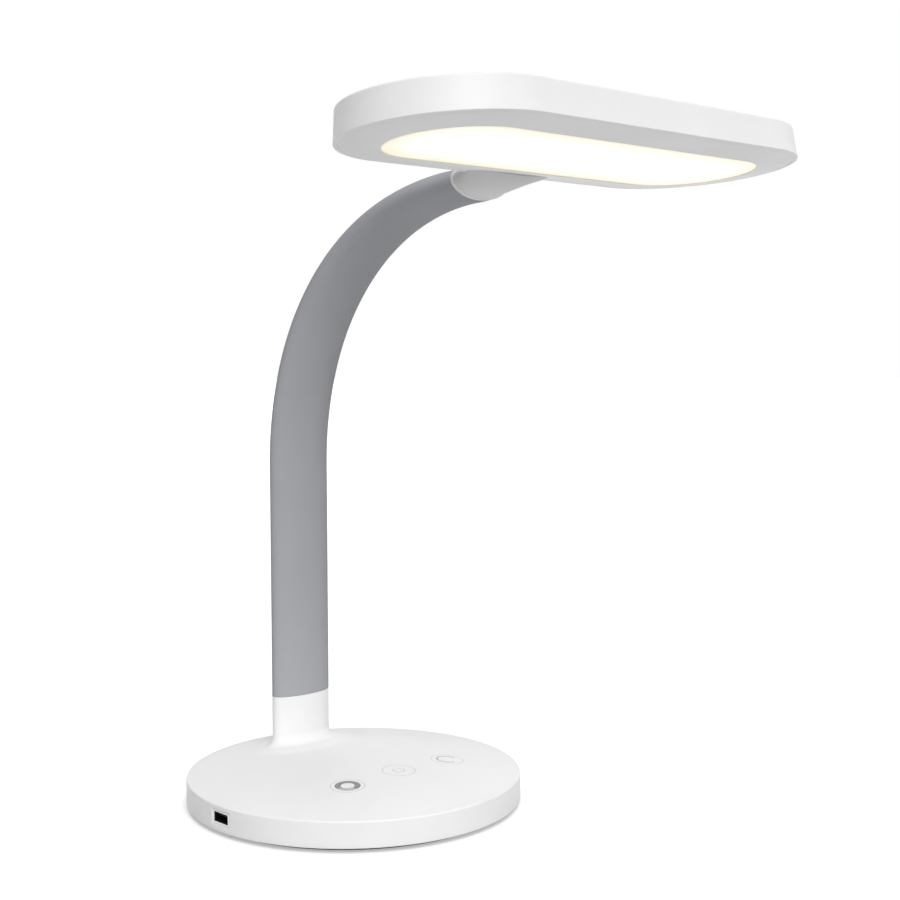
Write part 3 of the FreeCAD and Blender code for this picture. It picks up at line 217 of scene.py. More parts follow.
class Graph:
    """A material or a world under construction."""

    SOCKETS = {
        "colour": "Base Color", "roughness": "Roughness", "metallic": "Metallic", "normal": "Normal",
        "specular": "Specular IOR Level", "glow": "Emission Color", "glow_strength": "Emission Strength",
        "clearness": "Transmission Weight", "bending": "IOR",
    }

    def __init__(self, owner: Union[bpy.types.Material, bpy.types.World]) -> None:
        """Start with an empty node tree.

        Args:
            owner: Material or world that the tree belongs to.
        """
        self.owner = owner
        owner.use_nodes = True
        self.tree = owner.node_tree
        self.tree.nodes.clear()
        self._place: Union[Wire, None] = None

    def node(self, kind: str, settings: Union[dict, None] = None, inputs: Union[dict, None] = None,
             output: Union[int, str] = 0) -> Wire:
        """Add a node of any kind.

        Args:
            kind: The node's type.
            settings: Attributes that are set first.
            inputs: Values or wires by the socket's name or number.
            output: Name or number of the output that is returned.

        Returns:
            The chosen output.
        """
        made = self.tree.nodes.new(kind)
        for name, value in (settings or {}).items():
            setattr(made, name, value)
        for key, value in (inputs or {}).items():
            socket = made.inputs[key]
            if isinstance(value, Wire):
                self.tree.links.new(value.socket, socket)
            elif isinstance(value, tuple) and socket.type == "RGBA":
                socket.default_value = (*value[:3], 1.0)
            else:
                socket.default_value = value
        return Wire(self, made.outputs[output] if len(made.outputs) else None)

    def place(self) -> Wire:
        """Point on the piece, in the row frame.

        Returns:
            The point; its node is made once.
        """
        if self._place is None:
            self._place = self.node("ShaderNodeTexCoord", output="Object")
        return self._place

    def noise(self, grain: float, detail: float = 2.0, stretch: Triple = (1.0, 1.0, 1.0),
              rough: float = 0.5) -> Wire:
        """Noise on the piece.

        Args:
            grain: Size of the noise's features in metres.
            detail: Number of finer layers.
            stretch: Scale along each axis.
            rough: Strength of the finer layers.

        Returns:
            Noise from 0 to 1.
        """
        spot = self.node("ShaderNodeVectorMath", {"operation": "MULTIPLY"}, {0: self.place(), 1: stretch})
        return self.node("ShaderNodeTexNoise", None,
                         {"Vector": spot, "Scale": 1 / grain, "Detail": detail, "Roughness": rough})

    def axes(self, vector: Wire) -> tuple[Wire, Wire, Wire]:
        """Split a vector.

        Args:
            vector: The vector.

        Returns:
            Its three parts.
        """
        first = self.node("ShaderNodeSeparateXYZ", None, {0: vector})
        outputs = first.socket.node.outputs
        return first, Wire(self, outputs[1]), Wire(self, outputs[2])

    def blend(self, share: Value, first: Value, second: Value) -> Wire:
        """Mix two colours.

        Args:
            share: Share of the second colour.
            first: Colour at share 0.
            second: Colour at share 1.

        Returns:
            The mixed colour.
        """
        return self.node("ShaderNodeMix", {"data_type": "RGBA"}, {0: share, 6: first, 7: second}, output=2)

    def bump(self, height: Wire, depth: float, below: Union[Wire, None] = None) -> Wire:
        """Turn a height into a surface normal.

        Args:
            height: Height from 0 to 1.
            depth: Real depth of the relief in metres.
            below: Normal of a coarser relief.

        Returns:
            The normal.
        """
        links = {"Height": height, "Distance": depth, "Strength": 1.0}
        if below is not None:
            links["Normal"] = below
        return self.node("ShaderNodeBump", None, links)

    def surface(self, **values: Value) -> Wire:
        """Add the surface shader that every finish ends in.

        Args:
            values: Values or wires by the keys of SOCKETS.

        Returns:
            The shader.
        """
        inputs = {self.SOCKETS[key]: value for key, value in values.items()}
        return self.node("ShaderNodeBsdfPrincipled", None, inputs)

    def finish(self, shader: Wire) -> bpy.types.Material:
        """Close the material with its surface shader.

        Args:
            shader: The surface shader.

        Returns:
            The finished material.
        """
        self.node("ShaderNodeOutputMaterial", None, {"Surface": shader})
        return self.owner


# ---------------------------------------------------------------------------------------------------------
# Finishes
# ---------------------------------------------------------------------------------------------------------
@dataclass(frozen=True)
class Finish:
    """A named finish; each kind writes its own shader."""

    name: str
    slot: Union[Slot, None] = field(default=None, kw_only=True)

    def shader(self, graph: Graph) -> Wire:
        """Write the surface shader.

        Args:
            graph: Graph to write into.

        Returns:
            The shader.
        """
        raise NotImplementedError

    def material(self) -> bpy.types.Material:
        """Material of this finish, made once.

        Returns:
            The material.
        """
        found = bpy.data.materials.get(self.name)
        if found is not None:
            return found
        graph = Graph(bpy.data.materials.new(self.name))
        return graph.finish(self.shader(graph))


@dataclass(frozen=True)
class MouldedPlastic(Finish):
    """Moulded plastic with a fine spark-eroded grain and faint flow mottling."""

    colour: Colour = (0.9, 0.9, 0.9)
    shade: Colour = (0.86, 0.86, 0.86)
    roughness: float = 0.4
    grain: float = 0.45 * MM
    depth: float = 0.006 * MM
    flow: float = 38 * MM
    speck: float = 1.1 * MM
    wave: float = 9 * MM
    wave_depth: float = 0.02 * MM
    specular: float = 0.18
    # Painted shade: between these two heights the colour blends into the shade colour below; off by default.
    painted_shade_heights: tuple[float, float] = (0.0, 0.0)
    painted_shade_colour: Colour = (0.5, 0.5, 0.5)

    def shader(self, graph: Graph) -> Wire:
        """Fine grain, slow mottling and a few duller patches; painted shade blends it into a shade colour
        between two heights, fully above the upper one.

        Args:
            graph: Graph to write into.

        Returns:
            The shader.
        """
        flow = graph.noise(self.flow, 3.0).rise(0.3, 0.7)
        speck = graph.noise(self.speck, 1.0).rise(0.62, 0.8)
        grain = graph.noise(self.grain, 2.0, rough=0.6)
        wave = graph.noise(self.wave, 1.0)
        colour = graph.blend(flow * 0.55 + speck * 0.25, self.colour, self.shade)
        # Painted shade: upwards between the two heights the colour turns to the shade colour.
        if self.painted_shade_heights[1] > self.painted_shade_heights[0]:
            height = graph.axes(graph.place())[2]
            colour = graph.blend(height.rise(*self.painted_shade_heights), colour, self.painted_shade_colour)
        roughness = self.roughness + (flow - 0.5) * 0.05 + (grain - 0.5) * 0.08
        normal = graph.bump(grain, self.depth, graph.bump(wave, self.wave_depth))
        return graph.surface(colour=colour, roughness=roughness, normal=normal, specular=self.specular)


@dataclass(frozen=True)
class SleeveRubber(Finish):
    """Matte silicone rubber with a dusty fine grain."""

    colour: Colour = paint(171, 172, 176)
    shade: Colour = paint(168, 169, 173)
    roughness: float = 0.85
    specular: float = 0.06
    cloud: float = 26 * MM
    dust: float = 0.9 * MM
    dust_depth: float = 0.02 * MM
    grain: float = 0.35 * MM
    depth: float = 0.012 * MM

    def shader(self, graph: Graph) -> Wire:
        """Fine matte grain with slow cloudiness.

        Args:
            graph: Graph to write into.

        Returns:
            The shader.
        """
        cloud = graph.noise(self.cloud, 3.0).rise(0.25, 0.75)
        dust = graph.noise(self.dust, 3.0, rough=0.7)
        grain = graph.noise(self.grain, 2.0, rough=0.65)
        colour = graph.blend(cloud * 0.6 + dust.rise(0.45, 0.75) * 0.4, self.colour, self.shade)
        roughness = self.roughness + (cloud - 0.5) * 0.06 + (dust - 0.5) * 0.1
        normal = graph.bump(grain, self.depth, graph.bump(dust, self.dust_depth))
        return graph.surface(colour=colour, roughness=roughness, normal=normal, specular=self.specular)


@dataclass(frozen=True)
class GlowingLens(Finish):
    """Milky diffuser, lit from its long edges: even white that warms towards its rim."""

    centre: Triple
    tilt: float
    length: float
    width: float
    milk: Colour = paint(252, 252, 250)
    milk_edge: Colour = paint(250, 248, 240)
    milk_run: float = 12 * MM
    rim_glow: Colour = (0.36, 0.31, 0.17)
    field_glow: Colour = (0.46, 0.45, 0.4)
    full_glow: Colour = (1.0, 1.0, 0.98)
    strength: float = 4.5
    field_run: float = 16 * MM
    full_run: tuple[float, float] = (14 * MM, 32 * MM)
    grain: float = 0.5 * MM
    depth: float = 0.006 * MM

    def shader(self, graph: Graph) -> Wire:
        """Distance to the rim drives warmth and brightness; a fine matte grain breaks the gloss.

        Args:
            graph: Graph to write into.

        Returns:
            The shader.
        """
        spot = graph.node("ShaderNodeMapping", {"vector_type": "TEXTURE"},
                          {"Vector": graph.place(), "Location": self.centre,
                           "Rotation": (self.tilt, 0.0, 0.0)})
        along, across, _ = graph.axes(spot)
        past = (along.size() - (self.length - self.width) / 2).most(0.0)
        inset = self.width / 2 - (past * past + across * across) ** 0.5
        grain = graph.noise(self.grain, 2.0)
        colour = graph.blend(inset.rise(0.0, self.milk_run), self.milk_edge, self.milk)
        rim, middle = (tuple(part / self.strength for part in glow)
                       for glow in (self.rim_glow, self.field_glow))
        glow = graph.blend(inset.rise(0.0, self.field_run), rim, middle)
        glow = graph.blend(inset.rise(*self.full_run), glow, self.full_glow)
        return graph.surface(colour=colour, roughness=0.42 + (grain - 0.5) * 0.08,
                             normal=graph.bump(grain, self.depth), glow=glow,
                             glow_strength=self.strength, specular=0.3)


@dataclass(frozen=True)
class PrintedInk(Finish):
    """Thin pad-printed ink that covers its ground unevenly."""

    colour: Colour
    cover: float
    ground: Colour = paint(243, 243, 243)
    patch: float = 0.8 * MM
    depth: float = 0.004 * MM

    def shader(self, graph: Graph) -> Wire:
        """Ink over the ground colour with slight pinholes.

        Args:
            graph: Graph to write into.

        Returns:
            The shader.
        """
        patch = graph.noise(self.patch, 3.0, rough=0.7)
        cover = self.cover - patch.rise(0.55, 0.8) * 0.3 * self.cover
        return graph.surface(colour=graph.blend(cover, self.ground, self.colour),
                             roughness=0.5 + (patch - 0.5) * 0.15,
                             normal=graph.bump(patch, self.depth), specular=0.3)


@dataclass(frozen=True)
class BareMetal(Finish):
    """Pressed sheet or turned pin with fine drawn lines."""

    colour: Colour = (0.62, 0.62, 0.63)
    roughness: float = 0.34
    lines: Triple = (1.0, 1.0, 0.06)
    line: float = 0.3 * MM
    stain: float = 7 * MM
    depth: float = 0.005 * MM

    def shader(self, graph: Graph) -> Wire:
        """Lines along the drawing direction, plus faint stains.

        Args:
            graph: Graph to write into.

        Returns:
            The shader.
        """
        line = graph.noise(self.line, 2.0, self.lines)
        stain = graph.noise(self.stain, 3.0).rise(0.4, 0.8)
        dark = tuple(part * 0.8 for part in self.colour)
        return graph.surface(colour=graph.blend(stain * 0.5, self.colour, dark), metallic=1.0,
                             roughness=self.roughness + (line - 0.5) * 0.2 + stain * 0.08,
                             normal=graph.bump(line, self.depth))


@dataclass(frozen=True)
class PaintedCasting(Finish):
    """Sprayed paint over rough plate."""

    colour: Colour = (0.05, 0.05, 0.05)
    peel: float = 1.6 * MM
    peel_depth: float = 0.05 * MM
    spot: float = 12 * MM

    def shader(self, graph: Graph) -> Wire:
        """Orange-peel paint with dull spots.

        Args:
            graph: Graph to write into.

        Returns:
            The shader.
        """
        peel = graph.noise(self.peel, 2.0)
        dull = graph.noise(self.spot, 3.0).rise(0.4, 0.7)
        light = tuple(part * 1.6 + 0.01 for part in self.colour)
        return graph.surface(colour=graph.blend(dull * 0.6, self.colour, light),
                             roughness=0.45 + dull * 0.2, normal=graph.bump(peel, self.peel_depth))


@dataclass(frozen=True)
class FoamPad(Finish):
    """Soft non-slip foam with open pores."""

    colour: Colour = (0.05, 0.05, 0.05)
    light: Colour = (0.09, 0.09, 0.09)
    pore: float = 0.9 * MM
    pore_depth: float = 0.12 * MM
    lint: float = 6 * MM

    def shader(self, graph: Graph) -> Wire:
        """Pores and lint.

        Args:
            graph: Graph to write into.

        Returns:
            The shader.
        """
        pore = graph.node("ShaderNodeTexVoronoi", None, {"Vector": graph.place(), "Scale": 1 / self.pore})
        lint = graph.noise(self.lint, 4.0, rough=0.7)
        return graph.surface(colour=graph.blend(lint.rise(0.4, 0.8), self.colour, self.light),
                             roughness=0.85 + (lint - 0.5) * 0.1,
                             normal=graph.bump(pore, self.pore_depth), specular=0.2)


@dataclass(frozen=True)
class BoardLaminate(Finish):
    """Printed circuit laminate with tracks under the mask."""

    colour: Colour = (0.01, 0.09, 0.04)
    track: Colour = (0.02, 0.16, 0.07)
    pitch: float = 2.6 * MM
    track_depth: float = 0.03 * MM
    weave: float = 0.6 * MM

    def shader(self, graph: Graph) -> Wire:
        """Square-cornered tracks from a stepped cell pattern.

        Args:
            graph: Graph to write into.

        Returns:
            The shader.
        """
        cells = graph.node("ShaderNodeTexVoronoi", {"distance": "CHEBYCHEV"},
                           {"Vector": graph.place(), "Scale": 1 / self.pitch})
        track = cells.band(0.3, 0.08, 0.03)
        weave = graph.noise(self.weave, 2.0)
        return graph.surface(colour=graph.blend(track, self.colour, self.track),
                             roughness=0.36 + weave * 0.1, normal=graph.bump(track, self.track_depth))


@dataclass(frozen=True)
class ClearAcrylic(Finish):
    """Light guide with its etched dots."""

    colour: Colour = (0.92, 0.95, 0.95)
    dot: Colour = paint(250, 250, 250)
    dot_pitch: float = 2.2 * MM
    dot_depth: float = 0.01 * MM
    clearness: float = 0.6
    bending: float = 1.49

    def shader(self, graph: Graph) -> Wire:
        """Dots on clear sheet.

        Args:
            graph: Graph to write into.

        Returns:
            The shader.
        """
        dots = graph.node("ShaderNodeTexVoronoi", {"feature": "F1"},
                          {"Vector": graph.place(), "Scale": 1 / self.dot_pitch, "Randomness": 0.15})
        mask = 1 - dots.rise(0.18, 0.24)
        return graph.surface(colour=graph.blend(mask, self.colour, self.dot), roughness=0.08 + mask * 0.5,
                             clearness=self.clearness, bending=self.bending,
                             normal=graph.bump(mask, self.dot_depth))


def grey(level: float) -> Colour:
    """Neutral colour as seen on a screen, from 0 to 255."""
    return paint(level, level, level)


SHELL = MouldedPlastic("white_shell_plastic", grey(243), grey(239), slot=Slot.WHITE_SHELL)
# The collar turns darker towards the head: painted shade where the head shadows its upper part.
COLLAR = MouldedPlastic("collar_plastic_painted_shade", grey(238), grey(232), 0.45, specular=0.1,
                        painted_shade_heights=(348.0 * MM, 362.5 * MM), painted_shade_colour=paint(208, 208, 209), slot=Slot.COLLAR)
LIP = MouldedPlastic("collar_lip_plastic", paint(236, 236, 237), paint(230, 230, 231), 0.45, specular=0.1,
                     slot=Slot.COLLAR)
SLEEVE = SleeveRubber("sleeve_rubber", slot=Slot.SLEEVE)
LEAD = SleeveRubber("lead_rubber", grey(30), grey(38))
DARK = MouldedPlastic("dark_plastic", grey(28), grey(38), 0.5)
PORT_FRAME = MouldedPlastic("port_frame_plastic", grey(254), grey(250), 0.3, depth=0.003 * MM)
PORT_TONGUE = MouldedPlastic("port_tongue_plastic", paint(30, 31, 32), grey(40))
PORT_STEEL = BareMetal("port_steel", paint(52, 52, 54), 0.5, (1.0, 1.0, 0.1))
STEEL = BareMetal("pressed_steel")
TRAY = BareMetal("tray_aluminium", (0.75, 0.75, 0.77), 0.4, (0.06, 1.0, 1.0))
BALLAST = PaintedCasting("ballast_paint")
PAD = FoamPad("pad_foam")
BOARD = BoardLaminate("board_laminate")
LED_BOARD = BoardLaminate("strip_laminate", paint(244, 240, 214), paint(236, 230, 196))
CLEAR = ClearAcrylic("guide_acrylic")
REFLECTOR = MouldedPlastic("reflector_film", grey(250), grey(246), 0.6)
INK = PrintedInk("control_ink", grey(96), 0.82, slot=Slot.MARK)
SOFT_INK = PrintedInk("soft_control_ink", grey(150), 0.7, slot=Slot.MARK_LIGHT)
FAINT_INK = PrintedInk("faint_control_ink", grey(190), 0.6, slot=Slot.MARK_LIGHT)


# ---------------------------------------------------------------------------------------------------------
# Outlines and skins
# ---------------------------------------------------------------------------------------------------------
@dataclass(frozen=True)
class Oval:
    """Elliptical outline whose upper half can be flatter or fuller than its lower half."""

    width: float
    depth: float
    crown: float = 1.0

    def point(self, turn: float) -> Vector:
        """Point of the outline at an angle."""
        along = math.sin(turn) * (self.crown if math.sin(turn) > 0 else 1.0)
        return Vector((math.cos(turn) * self.width / 2, along * self.depth / 2, 0.0))

    def grown(self, amount: float) -> "Oval":
        """The same outline, moved outwards."""
        return Oval(self.width + 2 * amount, self.depth + 2 * amount, self.crown)

    def toward(self, other: "Oval", share: float) -> "Oval":
        """Outline part of the way to another."""
        return Oval(self.width + (other.width - self.width) * share,
                    self.depth + (other.depth - self.depth) * share)


@dataclass(frozen=True)
class Stadium:
    """Two straight sides joined by half-round ends."""

    length: float
    width: float

    def point(self, turn: float) -> Vector:
        """Point of the outline at an angle of its round ends.

        Args:
            turn: The angle, from +X towards +Y.

        Returns:
            The point, in the outline's own plane.
        """
        radius = self.width / 2
        shift = math.copysign(self.length / 2 - radius, math.cos(turn))
        return Vector((math.cos(turn) * radius + shift, math.sin(turn) * radius, 0.0))

    def grown(self, amount: float) -> "Stadium":
        """The same outline, moved outwards."""
        return Stadium(self.length + 2 * amount, self.width + 2 * amount)

    def toward(self, other: "Stadium", share: float) -> "Stadium":
        """Outline part of the way to another."""
        return Stadium(self.length + (other.length - self.length) * share,
                       self.width + (other.width - self.width) * share)


Outline = Union[Oval, Stadium]


def circle(diameter: float) -> Oval:
    """Round outline."""
    return Oval(diameter, diameter)


def rise(height: float) -> Matrix:
    """Placement straight up by a height."""
    return Matrix.Translation((0.0, 0.0, height))


def ramp(value: float, low: float, high: float) -> float:
    """Share of the way from low to high, kept between 0 and 1."""
    return min(max((value - low) / (high - low), 0.0), 1.0)


def spaced(first: float, last: float, count: int) -> list[float]:
    """Evenly spaced values from first to last, in count steps."""
    return [first + (last - first) * index / count for index in range(count + 1)]


class Skin:
    """A surface grown ring by ring from one circle."""

    def __init__(self, segments: int) -> None:
        """Start with a circle of a number of segments.

        Args:
            segments: Number of segments of every ring.
        """
        self.mesh = bmesh.new()
        self.turn = self.mesh.verts.layers.float.new("turn")
        made = bmesh.ops.create_circle(self.mesh, cap_ends=False, radius=1.0, segments=segments)
        bmesh.ops.rotate(self.mesh, verts=made["verts"], cent=(0, 0, 0),
                         matrix=Matrix.Rotation(math.pi / segments, 3, "Z"))
        for vert in made["verts"]:
            vert[self.turn] = math.atan2(vert.co.y, vert.co.x)
        self.ring: list[bmesh.types.BMVert] = list(made["verts"])
        self.edges: list[bmesh.types.BMEdge] = list(self.mesh.edges)
        self.first: list[bmesh.types.BMEdge] = []

    def step(self, outline: Outline, place: Matrix,
             lift: Union[Callable[[Vector], float], None] = None) -> "Skin":
        """Grow the skin to its next ring.

        Args:
            outline: Shape of the ring.
            place: Where the ring's own plane lies.
            lift: Extra height as a function of the placed point.

        Returns:
            This skin.
        """
        if self.first:
            made = bmesh.ops.extrude_edge_only(self.mesh, edges=self.edges)["geom"]
            self.ring = [item for item in made if isinstance(item, bmesh.types.BMVert)]
            fresh = set(self.ring)
            self.edges = [item for item in made if isinstance(item, bmesh.types.BMEdge)
                          and item.verts[0] in fresh and item.verts[1] in fresh]
        else:
            self.first = self.edges
        for vert in self.ring:
            vert.co = place @ outline.point(vert[self.turn])
            if lift is not None:
                vert.co.z += lift(vert.co)
        return self

    def round_over(self, outline: Outline, place: Matrix, radius: float, start: float, finish: float,
                   steps: int, drop: float = 0.0) -> "Skin":
        """Grow rings round a quarter or half round edge.

        Args:
            outline: Outline through the round's centre line.
            place: Placement of the round's centre line.
            radius: Radius of the round.
            start: First angle in degrees: 0 points outwards and 90 up.
            finish: Last angle in degrees.
            steps: Number of rings after the first.
            drop: How far the outline narrows per unit of height, for drafted sides.

        Returns:
            This skin.
        """
        for angle in spaced(start, finish, steps):
            out = radius * math.cos(math.radians(angle))
            height = radius * math.sin(math.radians(angle))
            self.step(outline.grown(out - drop * height), place @ rise(height))
        return self

    def cap(self) -> "Skin":
        """Close the current ring with one flat face."""
        bmesh.ops.contextual_create(self.mesh, geom=self.edges)
        return self

    def cap_first(self) -> "Skin":
        """Close the first ring with one flat face."""
        bmesh.ops.contextual_create(self.mesh, geom=self.first)
        return self

    def join_ends(self) -> "Skin":
        """Join the last ring to the first."""
        bmesh.ops.bridge_loops(self.mesh, edges=self.first + self.edges)
        return self


def open_edges(mesh: bmesh.types.BMesh) -> list[bmesh.types.BMEdge]:
    """Edges with a face on one side only."""
    return [edge for edge in mesh.edges if len(edge.link_faces) == 1]


def parts_of(faces: Iterable[bmesh.types.BMFace]) -> list:
    """Faces with their edges and corners.

    Args:
        faces: The faces.

    Returns:
        All their geometry, as bisect_plane wants it.
    """
    chosen = list(faces)
    edges = {edge for face in chosen for edge in face.edges}
    corners = {vert for face in chosen for vert in face.verts}
    return chosen + list(edges) + list(corners)


# ---------------------------------------------------------------------------------------------------------
# The neck's line and the head's place
# ---------------------------------------------------------------------------------------------------------
@dataclass
class NeckLine:
    """Centre line of the neck: a straight run, then arcs that bend to the front."""

    foot: Vector
    width: float
    depth: float
    straight: float = 143.2 * MM
    straight_parts: int = 4
    arcs: tuple[tuple[float, float], ...] = ((174.0 * MM, 20.0), (148.5 * MM, 50.0), (174.0 * MM, 19.0))

    def runs(self) -> list[tuple[float, float]]:
        """Length and turn in radians of every run."""
        bends = [(radius * math.radians(angle), math.radians(angle)) for radius, angle in self.arcs]
        return [(self.straight, 0.0)] + bends

    def length(self) -> float:
        """Whole length of the neck."""
        return sum(length for length, _ in self.runs())

    def at(self, distance: float) -> Matrix:
        """Placement of the neck's cross-section.

        Args:
            distance: Distance along the neck from the foot; past its end it runs straight on.

        Returns:
            Frame whose Z runs along the neck and whose X is the lamp's X.
        """
        place = Matrix.Translation(self.foot)
        left = distance
        for length, turn in self.runs():
            part = min(left, length)
            if turn:
                radius = length / turn
                angle = part / radius
                place = place @ Matrix.Translation((0.0, -radius * (1 - math.cos(angle)),
                                                    radius * math.sin(angle)))
                place = place @ Matrix.Rotation(angle, 4, "X")
            else:
                place = place @ rise(part)
            left -= part
            if left <= 0:
                break
        return place @ rise(max(left, 0.0))

    def stations(self) -> list[float]:
        """Distances of the ends of the neck's eight segments; the middle arc holds two.

        Returns:
            Nine distances from the foot, in order.
        """
        lower, middle, upper = (length for length, turn in self.runs() if turn)
        pieces = [self.straight / self.straight_parts] * self.straight_parts
        pieces += [lower, middle / 2, middle / 2, upper]
        marks = [0.0]
        for piece in pieces:
            marks.append(marks[-1] + piece)
        return marks


# ---------------------------------------------------------------------------------------------------------
# Sub-assemblies
# ---------------------------------------------------------------------------------------------------------
@dataclass
class SubAssembly:
    """Steps that all sub-assemblies share."""

    sharp_angle: float = field(default=40.0, init=False)
    weld: float = field(default=0.002 * MM, init=False)

    def piece(self, mesh: bmesh.types.BMesh, name: str, finish: Finish,
              stands_for: Sequence[str] = ()) -> bpy.types.Object:
        """Turn a finished skin into a dressed object.

        Args:
            mesh: The skin.
            name: The piece's name.
            finish: Its finish.
            stands_for: Frame nodes that it replaces.

        Returns:
            The object.
        """
        bmesh.ops.remove_doubles(mesh, verts=mesh.verts, dist=self.weld)
        bmesh.ops.recalc_face_normals(mesh, faces=mesh.faces)
        limit = math.radians(self.sharp_angle)
        for face in mesh.faces:
            face.smooth = True
        for edge in mesh.edges:
            edge.smooth = len(edge.link_faces) == 2 and edge.calc_face_angle(0.0) < limit
        layer = mesh.verts.layers.float.get("turn")
        if layer is not None:
            mesh.verts.layers.float.remove(layer)
        data = bpy.data.meshes.new(name)
        mesh.to_mesh(data)
        mesh.free()
        thing = bpy.data.objects.new(name, data)
        bpy.context.scene.collection.objects.link(thing)
        data.materials.append(finish.material())
        if stands_for:
            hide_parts(*stands_for)
        LOG.info("%s: %d faces", name, len(data.polygons))
        return thing

    def dress(self, finish: Finish, *nodes: str) -> None:
        """Give frame nodes a finish.

        Args:
            finish: The finish.
            nodes: The nodes' names.
        """
        for name in nodes:
            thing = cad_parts[name]
            thing.data.materials.clear()
            thing.data.materials.append(finish.material())
            LOG.info("%s: kept, in %s", name, finish.name)


@dataclass(frozen=True)
class Stroke:
    """Printed ring or arc of one of the controls."""

    name: str
    ink: PrintedInk
    node: str
    column: int
    radius: float
    width: float
    start: float = 0.0
    sweep: float = 360.0

    def closed(self) -> bool:
        """Whether the stroke is a whole ring."""
        return self.sweep >= 360.0


@dataclass
class LampBase(SubAssembly):
    """Domed cover with its foot, the printed controls, the connectors and what lies inside."""

    segments: int = 240
    edge_steps: int = 6
    flare_steps: int = 12
    dome_steps: int = 30
    roof_steps: int = 12
    wall: float = 2.5 * MM
    edge: float = 1.0 * MM
    edge_start: float = 76.0
    foot_wall: float = 2.0 * MM
    foot_chamfer: float = 0.25 * MM
    dome_height: float = 8.3 * MM
    dome_fullness: float = 2.7
    foot_height: float = 39.0 * MM
    fillet: float = 6.6 * MM
    shoulder: float = 1.6 * MM
    shoulder_run: tuple[float, float] = (6.6 * MM, 18.0 * MM)
    mark_row: float = -40.0 * MM
    mark_pitch: float = 39.0 * MM
    mark_thick: float = 0.2 * MM
    stroke_segments: int = 16
    stroke_turn: float = 5.0
    strokes: tuple[Stroke, ...] = (
        Stroke("level_ring", FAINT_INK, "level_mark", -1, 9.7 * MM, 0.6 * MM),
        Stroke("level_symbol", INK, "level_mark", -1, 5.65 * MM, 3.5 * MM, 275.0, 260.0),
        Stroke("level_symbol_front", SOFT_INK, "level_mark", -1, 5.65 * MM, 3.5 * MM, 175.0, 100.0),
        Stroke("power_ring", FAINT_INK, "power_mark", 0, 9.7 * MM, 0.6 * MM),
        Stroke("power_symbol", FAINT_INK, "power_mark", 0, 3.35 * MM, 0.9 * MM, 110.0, 320.0),
        Stroke("mode_ring", FAINT_INK, "mode_mark", 1, 9.7 * MM, 0.6 * MM),
        Stroke("mode_symbol", SOFT_INK, "mode_mark", 1, 6.1 * MM, 1.2 * MM, 0.0, 270.0),
    )
    rim_share: float = 0.9
    window_edge: float = 0.35 * MM
    port_gap: float = 0.3 * MM
    port_reach: float = 16.0 * MM
    jack_radius: float = 3.9 * MM
    jack_margin: float = 0.9 * MM
    jack_reach: float = 12.0 * MM
    jack_segments: int = 48

    def __post_init__(self) -> None:
        """Read the base's main sizes from the frame."""
        self.low, self.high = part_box("base_cover")
        self.diameter = self.high.x - self.low.x
        self.rim_inside = self.rim_share * self.diameter / 2
        self.mid_wall = self.diameter / 2 - self.wall / 2
        self.top = self.high.z - self.foot_height
        sleeve_low, sleeve_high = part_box("neck_sleeve_1")
        self.foot = Oval(sleeve_high.x - sleeve_low.x, sleeve_high.y - sleeve_low.y)
        self.neck_y = (sleeve_high.y + sleeve_low.y) / 2

    def dome(self, point: Vector, depth: float = 0.0) -> float:
        """Height of the domed top above its edge.

        Args:
            point: Point in the row frame.
            depth: How far inside the outer dome.

        Returns:
            Height.
        """
        reach = self.diameter / 2 - self.edge - depth
        share = min(math.hypot(point.x, point.y) / reach, 1.0)
        return self.dome_height * (1 - share ** self.dome_fullness)

    def flare(self, amount: float) -> float:
        """Height that the foot's ogee adds: a hollow fillet that runs out over a soft shoulder.

        Args:
            amount: Distance from the foot's wall.

        Returns:
            Height.
        """
        left = max(self.fillet - amount, 0.0)
        share = ramp(amount, *self.shoulder_run)
        hollow = self.fillet - math.sqrt(self.fillet ** 2 - left * left)
        return hollow + self.shoulder * (1 - share * share * (3 - 2 * share))

    def cover_skin(self) -> Skin:
        """Outer skin from the foot's mouth over dome and rim, and back up inside.

        Returns:
            The closed skin without its windows.
        """
        skin = Skin(self.segments)
        neck = Matrix.Translation((0.0, self.neck_y, 0.0))
        chamfer = self.foot_chamfer
        skin.step(self.foot.grown(-chamfer), neck @ rise(self.high.z))
        skin.step(self.foot, neck @ rise(self.high.z - chamfer))
        skin.step(self.foot, neck @ rise(self.high.z - 2 * chamfer))
        reach = self.shoulder_run[1]
        turns = spaced(0, 90, self.flare_steps)
        amounts = [self.fillet * (1 - math.cos(math.radians(turn))) for turn in turns]
        amounts += spaced(self.fillet, reach, self.flare_steps)[1:]
        for amount in amounts:
            skin.step(self.foot.grown(amount), neck @ rise(self.top),
                      lambda point, extra=amount: self.dome(point) + self.flare(extra))
        inner = self.foot.grown(reach)
        outer = circle(self.diameter - 2 * self.edge)
        for share in spaced(0, 1, self.dome_steps)[1:]:
            place = Matrix.Translation((0.0, self.neck_y * (1 - share), self.top))
            skin.step(inner.toward(outer, share), place, self.dome)
        skin.round_over(outer, rise(self.top - self.edge), self.edge, self.edge_start, 0, self.edge_steps)
        skin.step(circle(self.diameter), rise(self.top - 1.4 * self.edge))
        half = self.edge / 2
        skin.step(circle(self.diameter), rise(self.low.z + 1.6 * half))
        skin.round_over(circle(self.diameter - 2 * half), rise(self.low.z + half), half, 0, -90, 4)
        bore = circle(self.diameter - 2 * self.wall)
        skin.step(bore, rise(self.low.z))
        mouth = self.foot.grown(-self.foot_wall)
        for share in spaced(0, 1, self.roof_steps):
            place = Matrix.Translation((0.0, self.neck_y * share, self.top - self.wall))
            skin.step(bore.toward(mouth, share), place, lambda point: self.dome(point, self.wall - self.edge))
        skin.step(mouth, neck @ rise(self.high.z))
        return skin.join_ends()

